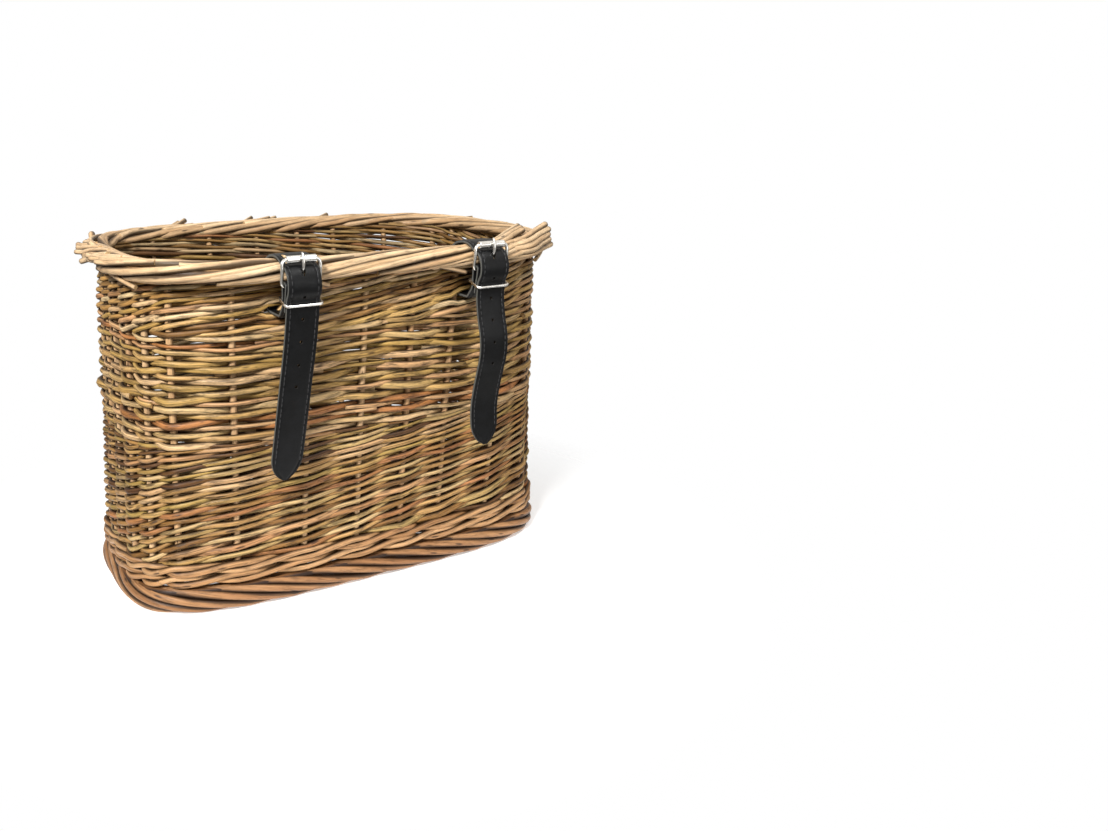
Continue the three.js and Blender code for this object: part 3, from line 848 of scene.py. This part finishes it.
def top_border():
    """The stakes' tops rolled round the rim over a core, with cut ends at the left, back and corner."""
    ring = Ring("top_border", TOP_THICK, TOP_SQUARENESS, drawn_in)
    bundle = Bundle("rolled_top_border", 10)
    for strand in range(TOP_STRANDS):
        add_top_strand(bundle, ring, strand)
    ring.add_core(bundle, TOP_CORE, TOP_CORE_ROD, 0.3, 1.0)
    for number in range(LOOSE_ENDS):
        add_loose_end(bundle, ring, number)
    for ends in (LEFT_ENDS, BACK_ENDS):
        add_cut_ends(bundle, ring, *ends)
    for butts in (OUTER_BUTTS, UPPER_BUTTS):
        add_corner_butts(bundle, ring, butts)
    return bundle.build()


FOOT_SQUARENESS = 3.9
FOOT_THICK = 16 * MM
FOOT_ROD = 3.2 * MM
FOOT_STRANDS = 28
FOOT_TRAVEL = 8.0  # strand pitches from a strand's start to its end
FOOT_DROP = 1.0 * MM  # how far the strands hang below the border's middle line
FOOT_CORE = ((1.6, 5.2), (-2.6, 4.6), (1.0, 0.0))
FOOT_CORE_ROD = 3.0 * MM


def foot_border():
    """Thick rods rolled round under the base: each comes out under the wale and turns below."""
    ring = Ring("foot_border", FOOT_THICK, FOOT_SQUARENESS)
    bundle = Bundle("rolled_foot_border", 12)
    pitch = ring.length[-1] / FOOT_STRANDS
    count = 60
    t = np.linspace(0, 1, count)
    for strand in range(FOOT_STRANDS):
        radius = FOOT_ROD * rng.uniform(0.92, 1.08)
        begin = (strand + rng.uniform(-0.15, 0.15)) * pitch
        angle = np.radians(235 - 400 * t) + wavy(count, 1, 0.06)
        across, tall = FOOT_THICK / 2 - radius, ring.half_tall - radius
        point, facing = ring.on_section(begin + pitch * FOOT_TRAVEL * t, angle, across, tall, FOOT_DROP)
        radii = radius * np.linspace(1.02, 0.84, count) * (1 + wavy(count, 3, 0.03))
        bundle.add(point, radii, facing, rng.random())
    ring.add_core(bundle, FOOT_CORE, FOOT_CORE_ROD, 0.9, 0.7)
    return bundle.build()


# ---- Stakes ----
STAKE_TOP = 9 * MM  # how far a stake runs up into the top border
STAKE_FOOT = 13 * MM  # how far its foot stake runs down into the foot border


def stake_piece(number, name):
    bundle = Bundle(f"willow_{name}", 12)
    low, high = STAKE_LOW[number], STAKE_HIGH[number]
    along = unit(high - low)
    count = 40
    t = np.linspace(0, 1, count)[:, None]
    line = low - along * STAKE_FOOT + (high - low + along * (STAKE_FOOT + STAKE_TOP)) * t
    sway = unit(np.cross(along, UP) + np.array([1e-6, 0, 0]))
    line = line + sway * wavy(count, 2, 0.25 * MM)[:, None]
    _, outward = wall_at(np.full(count, float(number)), line[:, 2])
    bundle.add(line, STAKE_RADIUS * np.linspace(1.04, 0.94, count), outward, rng.random())
    return bundle.build()


# ---- Base ----
BASE_ROD = 1.9 * MM
BASE_PITCH = 3.1 * MM
BASE_SQUARENESS = 3.9
BASE_EDGE_RODS = 4
BASE_STEP = 5 * MM  # between the points of a rod
SHORTEST_ROD = 30 * MM  # half the length of the shortest rod worth weaving


def stick_piece(node):
    """A base stick as a whittled rod with chamfered ends."""
    low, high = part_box(node)
    middle, size = np.array((low + high) / 2), np.array(high - low)
    axis = int(np.argmax(size))
    radius = min(size[k] for k in range(3) if k != axis) / 2
    bundle = Bundle(f"willow_{node}", 12)
    t = np.linspace(-0.5, 0.5, 24)
    line = middle + np.eye(3)[axis] * (t * size[axis])[:, None] + UP * wavy(24, 1, 0.15 * MM)[:, None]
    radii = radius * np.minimum(1, 0.72 + (0.5 - np.abs(t)) * size[axis] / (4 * MM) * 0.28)
    bundle.add(line, radii, UP, rng.random())
    return bundle.build()


def stick_places(prefix, axis):
    """Where the base sticks of a kind lie along an axis."""
    sticks = sorted(n for n in frame["nodes"] if n.startswith(prefix))
    return np.array([sum(box[axis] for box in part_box(n)) / 2 for n in sticks])


def base_weave():
    """Rods woven over and under the cross sticks, closed in by rods all round."""
    low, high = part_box("base_weave")
    middle, half = np.array((low + high) / 2), np.array(high - low) / 2
    stick_x = stick_places("base_stick_", 0)
    long_y = stick_places("base_long_stick_", 1)
    stick_low, stick_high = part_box("base_stick_1")
    lean = (stick_high.z - stick_low.z) / 2 + BASE_ROD * 0.9
    bundle = Bundle("woven_base", 8)
    rows = int(2 * half[1] / BASE_PITCH)
    for row in range(rows):
        y = middle[1] - half[1] + (row + 0.5) * 2 * half[1] / rows
        reach = half[0] * (1 - abs((y - middle[1]) / half[1]) ** BASE_SQUARENESS) ** (1 / BASE_SQUARENESS)
        if np.abs(long_y - y).min() < BASE_ROD or reach < SHORTEST_ROD:
            continue
        count = int(reach * 2 / BASE_STEP)
        x = np.linspace(-reach, reach, count)
        rise = np.cos(np.pi * ((x - stick_x[0]) / (stick_x[1] - stick_x[0]) + row)) * lean
        line = np.column_stack([x, np.full(count, y) + wavy(count, 3, 0.25 * MM), middle[2] + rise])
        radii = BASE_ROD * rng.uniform(0.88, 1.08) * (1 + wavy(count, 6, 0.05))
        bundle.add(line, radii, UP, rng.random())
    for number in range(BASE_EDGE_RODS):
        add_base_edge(bundle, middle, half, number)
    return bundle.build()


def add_base_edge(bundle, middle, half, number):
    """A rod laid all round the base against the wall."""
    count = 160
    angle = np.linspace(0, 2 * math.pi, count, endpoint=False)
    flat = oblong(angle, half[:2] + (3.4 - 2.7 * number) * MM, BASE_SQUARENESS) + middle[:2]
    rise = (0.9 if number % 2 else -0.6) * MM + wavy(count, 9, 0.5 * MM)
    line = np.column_stack([flat, middle[2] + rise])
    bundle.add(line, BASE_ROD * rng.uniform(0.9, 1.05), UP, rng.random(), closed=True)


# ---- Straps ----
STRAP_WIDTH = 22 * MM
STRAP_THICK = 2.4 * MM
FOLD_THICK = 2.2 * MM
EDGE_ROUND = 0.55 * MM
CREASE_INSET = 2.5 * MM  # from the strap's edge to the middle of its crease and stitches
CREASE_DEPTH = 0.3 * MM
WIRE = 1.25 * MM
PLAY = 0.3 * MM  # the gap between pieces that lie close together
TIP_LENGTH = 17 * MM
FRONT_BULGE = ((1.4, 12.2), (-2.4, 10.6), (-5.3, 7.2), (-6.9, 2.2), (-6.4, -2.8))  # mm from the heel bar
STRAP_STEPS = (150, 190)  # the cross-sections of the buckle end and of the point end
RIM_BACK = 14 * MM  # how far behind the heel bar the rim's middle is, and the leather inside the wall
INSIDE_BACK = 31.5 * MM
WALL_BEND = 4 * MM  # the radius of the strap's turns in the slot
RIM_BEND = 13.1 * MM  # half the depth of its bend over the front of the rim
HOLE_PITCH = 14.8 * MM
HOLE_COUNT = 5
ROUND_HOLE = (1.0 * MM, 1.15 * MM)  # half its width and height
PRONG_HOLE = (1.5 * MM, 3.3 * MM)
HEEL_SLOT = (1.6 * MM, 6.2 * MM)  # where the prong comes out of the fold
PRONG_HOLE_RISE = 9 * MM  # how far the prong's hole is above the heel bar
DRILL_DEPTH = 9 * MM
STITCH_PITCH = 3.6 * MM
STITCH_RADII = np.array([0.12, 0.3, 0.36, 0.3, 0.12]) * MM
FIRST_STITCH = 42 * MM  # on the buckle end, past the turn into the wall


def strap_outline(width, thick):
    """One cross-section of the leather, as across and up pairs, with each point's share of raw edge."""
    half, high = width / 2, thick / 2
    scale = min(1.0, half / (5 * MM))
    side = [
        (half, 0.0, 1.0),
        (half - 0.12 * MM * scale, high - EDGE_ROUND, 1.0),
        (half - EDGE_ROUND * scale, high - 0.08 * MM, 0.35),
        (half - 1.2 * MM * scale, high, 0.0),
        (half - (CREASE_INSET - 0.5 * MM) * scale, high, 0.0),
        (half - CREASE_INSET * scale, high - CREASE_DEPTH * scale, 0.0),
        (half - (CREASE_INSET + 0.6 * MM) * scale, high, 0.0),
        (half - (CREASE_INSET + 2 * MM) * scale, high + 0.1 * MM, 0.0),
        (0.0, high + 0.16 * MM, 0.0),
    ]
    top = side + [(-x, y, e) for x, y, e in side[:-1][::-1]]
    under = [(-x, -y, e) for x, y, e in top[1:-1]]
    return np.array(top + under)


def flat_directions(line):
    """The leather's face at each point of a line that bends in the YZ plane, and the way along."""
    along = unit(np.gradient(line, axis=0))
    return unit(np.column_stack([np.zeros(len(line)), along[:, 2], -along[:, 1]])), along


def tube(name, rings):
    """A closed mesh through equal rings of points."""
    index = np.arange(len(rings) * len(rings[0])).reshape(len(rings), -1)
    caps = [index[0][::-1].tolist(), index[-1].tolist()]
    return mesh_object(name, np.vstack(rings), quads_between(index[:-1], index[1:]).tolist() + caps)


def strap_mesh(name, line, widths, thick):
    face, _ = flat_directions(line)
    outlines = [strap_outline(width, thick) for width in widths]
    rings = [p + o[:, :1] * RIGHT + o[:, 1:2] * up for p, up, o in zip(line, face, outlines)]
    obj = tube(name, rings)
    set_attribute(obj.data, "edge", "FLOAT", "POINT", np.concatenate([o[:, 2] for o in outlines]))
    return obj


def oval_cutter(point, normal, half_size, depth=DRILL_DEPTH):
    """A closed oval drill through the leather, to be cut away."""
    sides = 20
    normal = Vector(normal).normalized()
    across = Vector((1, 0, 0))
    tall = normal.cross(across).normalized()
    rings = []
    for end in (-depth / 2, depth / 2):
        ring = []
        for k in range(sides):
            angle = 2 * math.pi * k / sides
            offset = across * half_size[0] * math.cos(angle) + tall * half_size[1] * math.sin(angle)
            ring.append(Vector(point) + normal * end + offset)
        rings.append(ring)
    return tube("cutter", rings)


def punch(obj, cutters, edge_material):
    """Cuts the drills out of a strap, so that the holes show its raw middle, and smooths its faces."""
    for cutter in cutters:
        cutter.data.materials.append(edge_material)
        modifier = obj.modifiers.new("cut", "BOOLEAN")
        modifier.operation = "DIFFERENCE"
        modifier.solver = "EXACT"
        modifier.material_mode = "TRANSFER"
        modifier.object = cutter
    graph = bpy.context.evaluated_depsgraph_get()
    mesh = bpy.data.meshes.new_from_object(obj.evaluated_get(graph))
    obj.modifiers.clear()
    obj.data = mesh
    for cutter in cutters:
        bpy.data.objects.remove(cutter)
    mesh.polygons.foreach_set("use_smooth", np.ones(len(mesh.polygons), bool))
    mesh.set_sharp_from_angle(angle=math.radians(42))


def arc(centre, radius_y, radius_z, start, end, steps):
    """Points on an arc in the YZ plane. Angle 0 is +Y and 90 degrees is +Z."""
    angle = np.radians(np.linspace(start, end, steps))
    y = centre[1] + radius_y * np.cos(angle)
    z = centre[2] + radius_z * np.sin(angle)
    return np.column_stack([np.full(steps, centre[0]), y, z])


def section_middle(node, z):
    """The middle of a CAD node where a level plane cuts it."""
    mesh = frame["nodes"][node].data
    co = np.array([v.co for v in mesh.vertices])
    ends = np.array([e.vertices for e in mesh.edges])
    a, b = co[ends[:, 0]], co[ends[:, 1]]
    crossing = (a[:, 2] - z) * (b[:, 2] - z) < 0
    a, b = a[crossing], b[crossing]
    cut = a + (b - a) * ((z - a[:, 2]) / (b[:, 2] - a[:, 2]))[:, None]
    return (cut.min(0) + cut.max(0)) / 2


class Strap:
    """The places that one strap's leather and hardware share, taken from the joints and the CAD boxes."""

    def __init__(self, side):
        self.side = side
        self.heel = np.array(JOINTS[f"{side}_buckle_tilt"]["pos_m"])
        self.roller = np.array(JOINTS[f"{side}_roller_spin"]["pos_m"])
        self.hinge = np.array(JOINTS[f"{side}_tail_swing"]["pos_m"])
        low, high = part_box(f"{side}_keeper")
        self.keeper_low, self.keeper_high = np.array(low), np.array(high)
        self.keeper_z = (low.z + high.z) / 2
        low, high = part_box("top_border")
        self.rim = np.array([self.heel[0], self.heel[1] + RIM_BACK, (low.z + high.z) / 2])
        self.over = high.z + PLAY + STRAP_THICK / 2 + PLAY - self.rim[2]
        self.inside_y = self.heel[1] + INSIDE_BACK

    def at(self, y_offset, z_offset, origin=None):
        origin = self.heel if origin is None else origin
        return origin + np.array([0.0, y_offset * MM, z_offset * MM])

    def back_line(self):
        """Round the heel bar, down behind, through the wall, up inside and over the rim."""
        fold = WIRE + PLAY + FOLD_THICK / 2
        back_y = self.heel[1] + fold + 0.2 * MM
        x = self.heel[0]
        bend = WALL_BEND
        pieces = [
            [[x, back_y - FOLD_THICK - PLAY, self.keeper_z - 4.5 * MM]],
            arc(self.heel, fold, fold, 180, 0, 14),
            [[x, back_y + 0.1 * MM, self.heel[2] - 6 * MM]],
            [[x, back_y + 0.4 * MM, self.keeper_z - 0.8 * MM]],
            arc((x, back_y + 4 * MM + bend, SLOT_Z + bend), bend, bend, 205, 270, 6),
            arc((x, self.inside_y - bend, SLOT_Z + bend), bend, bend, -90, 0, 8),
            arc(self.rim, self.inside_y - self.rim[1], self.over, 0, 90, 10),
            arc(self.rim, RIM_BEND, self.over, 105, 132, 4),
        ]
        return evenly(spline(np.vstack(pieces), 400), STRAP_STEPS[0])

    def front_line(self):
        """From under the roller, out over the heel bar, through the keeper and down to the tip."""
        x = self.heel[0]
        bulge = [self.at(y, z) for y, z in FRONT_BULGE]
        in_keeper = [
            [x, self.heel[1] - 3.5 * MM, self.keeper_z + 3.2 * MM],
            [x, self.heel[1] - 3.2 * MM, self.keeper_z],
        ]
        node = f"{self.side}_strap_tail"
        levels = np.linspace(self.hinge[2] - 3 * MM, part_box(node)[0].z + 2.5 * MM, 9)
        tail = [section_middle(node, z) for z in levels]
        tip = tail[-1] + unit(tail[-1] - tail[-2]) * 2.5 * MM
        start = arc(self.rim, RIM_BEND, self.over, 132, 140, 2)
        return spline(np.vstack([start, bulge, in_keeper, tail, [tip]]), STRAP_STEPS[1])


def stitches(name, line, thick, first, last):
    """Two rows of waxed stitches laid in the creases."""
    bundle = Bundle(name, 6)
    face, along = flat_directions(line)
    length = lengths(line)
    t = np.array([-1.0, -0.75, 0.0, 0.75, 1.0])
    for distance in np.arange(first, length[-1] - last, STITCH_PITCH):
        k = int(np.searchsorted(length, distance))
        for side in (-1, 1):
            across = side * (STRAP_WIDTH / 2 - CREASE_INSET)
            middle = line[k] + RIGHT * across + face[k] * (thick / 2 - CREASE_DEPTH + 0.12 * MM)
            run = middle + along[k] * (t * STITCH_PITCH * 0.4)[:, None]
            run = run - face[k] * (t**4 * 0.2 * MM)[:, None]
            bundle.add(run, STITCH_RADII, face[k])
    return bundle.build()


def back_strap(strap, looks):
    """The buckle end: one length of leather that rides on the basket."""
    side = strap.side
    line = strap.back_line()
    obj = strap_mesh(f"{side}_strap_buckle_end", line, [STRAP_WIDTH] * len(line), FOLD_THICK)
    obj.data.materials.append(looks["leather"])
    punch(obj, [oval_cutter(strap.at(0, 1.2), (0, 1, 0), HEEL_SLOT, 10 * MM)], looks["raw_edge"])
    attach(obj, "basket")
    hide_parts(f"{side}_strap_loop")
    sewn = stitches(f"{side}_strap_buckle_end_stitches", line, FOLD_THICK, FIRST_STITCH, 2 * MM)
    place(sewn, looks["thread"], "basket", "leather")


def front_strap(strap, looks):
    """The point end, from the basket down to the tail."""
    side = strap.side
    line = strap.front_line()
    length = lengths(line)
    left = np.clip((length[-1] - length) / TIP_LENGTH, 0.0, 1)
    widths = STRAP_WIDTH * np.maximum(1 - (1 - left) ** 1.9, 0.03) ** 0.54
    obj = strap_mesh(f"{side}_strap_point_end", line, widths, STRAP_THICK)
    obj.data.materials.append(looks["leather"])
    face, _ = flat_directions(line)
    first = int(np.argmax(line[:, 2] < strap.heel[2] + PRONG_HOLE_RISE))
    cutters = [oval_cutter(line[first], face[first], PRONG_HOLE)]
    for k in range(1, HOLE_COUNT + 1):
        spot = int(np.searchsorted(length, length[first] + k * HOLE_PITCH))
        cutters.append(oval_cutter(line[spot], face[spot], ROUND_HOLE))
    punch(obj, cutters, looks["raw_edge"])
    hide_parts(f"{side}_strap_tail")
    sewn = stitches(f"{side}_strap_point_end_stitches", line, STRAP_THICK, 3 * MM, TIP_LENGTH * 0.8)
    sewn.data.materials.append(looks["thread"])
    for piece in (obj, sewn):
        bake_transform(piece)


# ---- Buckles ----
FRAME_WIRE = 1.12 * MM
FRAME_SNUG = 0.5 * MM  # how much narrower each side of the frame is than its CAD box
FRAME_BOW = 0.9 * MM
FRAME_CORNER = 3.2 * MM
PRONG_RADIUS = 1.0 * MM
KEEPER_CORNER = 2.4 * MM
KEEPER_SNUG = 0.975
KEEPER_TILT = 4.0 * MM  # how much higher the keeper's back wire is than its front


def rounded_loop(half_a, half_b, corner):
    """A rectangle with round corners about the origin, as pairs, walked once round."""
    pairs = []
    for sign_a, sign_b, start in ((1, 1, 0), (-1, 1, 90), (-1, -1, 180), (1, -1, 270)):
        centre = np.array([sign_a * (half_a - corner), sign_b * (half_b - corner)])
        angle = np.radians(np.linspace(start, start + 90, 8))
        pairs.append(centre + corner * np.column_stack([np.cos(angle), np.sin(angle)]))
    return evenly(np.vstack([*pairs, pairs[0][:1]]), 121)[:-1]


def buckle_frame(strap, look):
    side = strap.side
    low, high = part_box(f"{side}_buckle_frame")
    half_width = (high.x - low.x) / 2 - WIRE - FRAME_SNUG
    lift = strap.roller - strap.heel
    tall = np.linalg.norm(lift)
    up = unit(lift)
    front = unit(np.cross(RIGHT, up))
    loop = rounded_loop(half_width, tall / 2, FRAME_CORNER)
    bow = FRAME_BOW * np.cos(np.clip(loop[:, 1] / tall * math.pi, -math.pi / 2, math.pi / 2))
    sides_only = np.clip((np.abs(loop[:, 0]) - half_width * 0.75) / (half_width * 0.25), 0, 1)
    line = (strap.heel + strap.roller) / 2 + loop[:, :1] * RIGHT + loop[:, 1:] * up
    bundle = Bundle(f"{side}_nickel_frame", 16)
    bundle.add(line + front * (bow * sides_only)[:, None], FRAME_WIRE, front, closed=True)
    place(bundle.build(), look, f"{side}_buckle", "nickel", [f"{side}_buckle_frame"])


def buckle_roller(strap, look):
    side = strap.side
    low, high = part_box(f"{side}_buckle_roller")
    half, radius = (high.x - low.x) / 2, (high.z - low.z) / 2
    offsets = np.array([-1, -0.985, -0.95, -0.9, -0.5, 0, 0.5, 0.9, 0.95, 0.985, 1]) * half
    flare = np.array([0.8, 0.93, 1.0, 0.985, 0.98, 0.98, 0.98, 0.985, 1.0, 0.93, 0.8])
    bundle = Bundle(f"{side}_nickel_roller", 32)
    bundle.add(strap.roller + offsets[:, None] * RIGHT, radius * flare, UP)
    place(bundle.build(), look, f"{side}_roller", "nickel", [f"{side}_buckle_roller"])


def buckle_prong(strap, look):
    """An eye round the heel bar, and a shank that runs up over the roller."""
    side = strap.side
    count = 40
    eye = WIRE + PLAY + PRONG_RADIUS
    bundle = Bundle(f"{side}_nickel_prong", 14)
    bundle.add(arc(strap.heel, eye, eye, 0, 345, 24), PRONG_RADIUS, RIGHT, closed=True)
    from_heel = [strap.at(y, z) for y, z in ((-0.9, 2.15), (-3.3, 8.2))]
    over = ((-3.5, -4.0), (-3.7, 0.1), (-2.7, 3.4), (-1.7, 4.0))
    shank = spline(from_heel + [strap.at(y, z, strap.roller) for y, z in over], count)
    radii = PRONG_RADIUS * np.interp(np.linspace(0, 1, count), [0, 0.7, 0.93, 1], [1.05, 1.0, 0.8, 0.45])
    bundle.add(shank, radii, RIGHT)
    place(bundle.build(), look, f"{side}_prong", "nickel", [f"{side}_buckle_prong"])


def keeper(strap, look):
    side = strap.side
    wire = (strap.keeper_high[2] - strap.keeper_low[2]) / 2
    half = (strap.keeper_high - strap.keeper_low) / 2 - wire
    loop = rounded_loop(half[0], half[1], KEEPER_CORNER)
    loop[:, 0] *= KEEPER_SNUG
    rise = KEEPER_TILT * (loop[:, 1] / half[1] + 1) / 2
    line = (strap.keeper_high + strap.keeper_low) / 2 + np.column_stack([loop, rise])
    bundle = Bundle(f"{side}_nickel_keeper", 12)
    bundle.add(line, wire, UP, closed=True)
    place(bundle.build(), look, f"{side}_keeper", "nickel", [f"{side}_keeper"])


# ---- The whole basket ----
# The shades of each kind of willow, as screen colours.
GREENS = [(86, 52, 28), (170, 124, 66), (208, 164, 104), (180, 148, 76), (230, 194, 142), (180, 116, 66)]
BROWNS = [(94, 58, 34), (188, 144, 84), (226, 182, 120), (196, 158, 86), (244, 208, 156), (196, 132, 78)]
DUSKY = [(110, 70, 42), (210, 160, 90), (246, 202, 134), (210, 168, 92), (252, 220, 168), (206, 138, 84)]
WALE = [(172, 126, 80), (208, 164, 116), (188, 140, 92)]
RIM = [(226, 188, 142), (244, 212, 170), (234, 198, 152)]
FOOT = [(166, 120, 79), (194, 147, 102), (156, 110, 69)]
STAKE = [(232, 186, 134), (240, 200, 152), (222, 172, 122)]


def make_looks():
    return {
        # Where a look gives three numbers after its mottle colour, the last is how deep its painted crease
        # shade goes. The others have it at full depth.
        "lower": willow("green_bark", GREENS, (118, 84, 36), 0.5),
        "middle": willow("brown_bark", BROWNS, (132, 88, 40), 0.45),
        "upper": willow("dusky_bark", DUSKY, (132, 96, 44), 0.5),
        "wale": willow("buff_wale", WALE, (140, 90, 50), 0.4, 0.45, 0.9),
        "rim": willow("buff_rim", RIM, (196, 142, 88), 0.4, 0.35, 0.85),
        "foot": willow("buff_foot", FOOT, (124, 78, 42), 0.4, 0.45, 0.95),
        "stake": willow("buff_stake", STAKE, (176, 124, 78), 0.35, 0.3, 0.4),
        "leather": leather("black_leather"),
        "raw_edge": raw_edge("leather_raw_edge"),
        "thread": thread("waxed_thread"),
        "nickel": nickel("bright_nickel"),
    }


def make_willow(looks):
    lower = french_siding("lower_weave", "lower_siding", LOWER_REACH, LOWER_ROD)
    place(lower, looks["lower"], "basket", "green_willow", ["lower_siding"])
    middle = siding("middle_weave", "middle_siding", MIDDLE_ROD, MIDDLE_SPREAD)
    place(middle, looks["middle"], "basket", "brown_willow", ["middle_siding"])
    upper = french_siding("upper_weave", "upper_siding", UPPER_REACH, UPPER_ROD, UPPER_EXTRA)
    place(upper, looks["upper"], "basket", "green_willow", ["upper_siding"])
    place(waling("woven_wale", "upsett_wale"), looks["wale"], "basket", "buff_willow", ["upsett_wale"])
    place(top_border(), looks["rim"], "basket", "buff_willow", ["top_border"])
    place(foot_border(), looks["foot"], "basket", "buff_willow", ["foot_border"])
    for number, name in enumerate(STAKE_NODES):
        place(stake_piece(number, name), looks["stake"], "basket", "stake_willow", [name])
    place(base_weave(), looks["lower"], "basket", "green_willow", ["base_weave"])
    for node in sorted(n for n in frame["nodes"] if "base_stick_" in n or "base_long_stick_" in n):
        place(stick_piece(node), looks["stake"], "basket", "stake_willow", [node])


def make_strap(side, looks):
    strap = Strap(side)
    back_strap(strap, looks)
    front_strap(strap, looks)
    for make in (buckle_frame, buckle_roller, buckle_prong, keeper):
        make(strap, looks["nickel"])


bpy.context.scene.view_settings.view_transform = "Standard"
add_camera()
add_area_light("key_light", (-1.15, -0.95, 1.3), 0.4, 44)
add_area_light("top_light", (0.3, -0.7, 1.5), 0.6, 9)
add_area_light("fill_light", (0.6, -1.6, 0.4), 0.9, 5)
add_world()
add_floor()
all_looks = make_looks()
make_willow(all_looks)
for strap_side in ("left", "right"):
    make_strap(strap_side, all_looks)
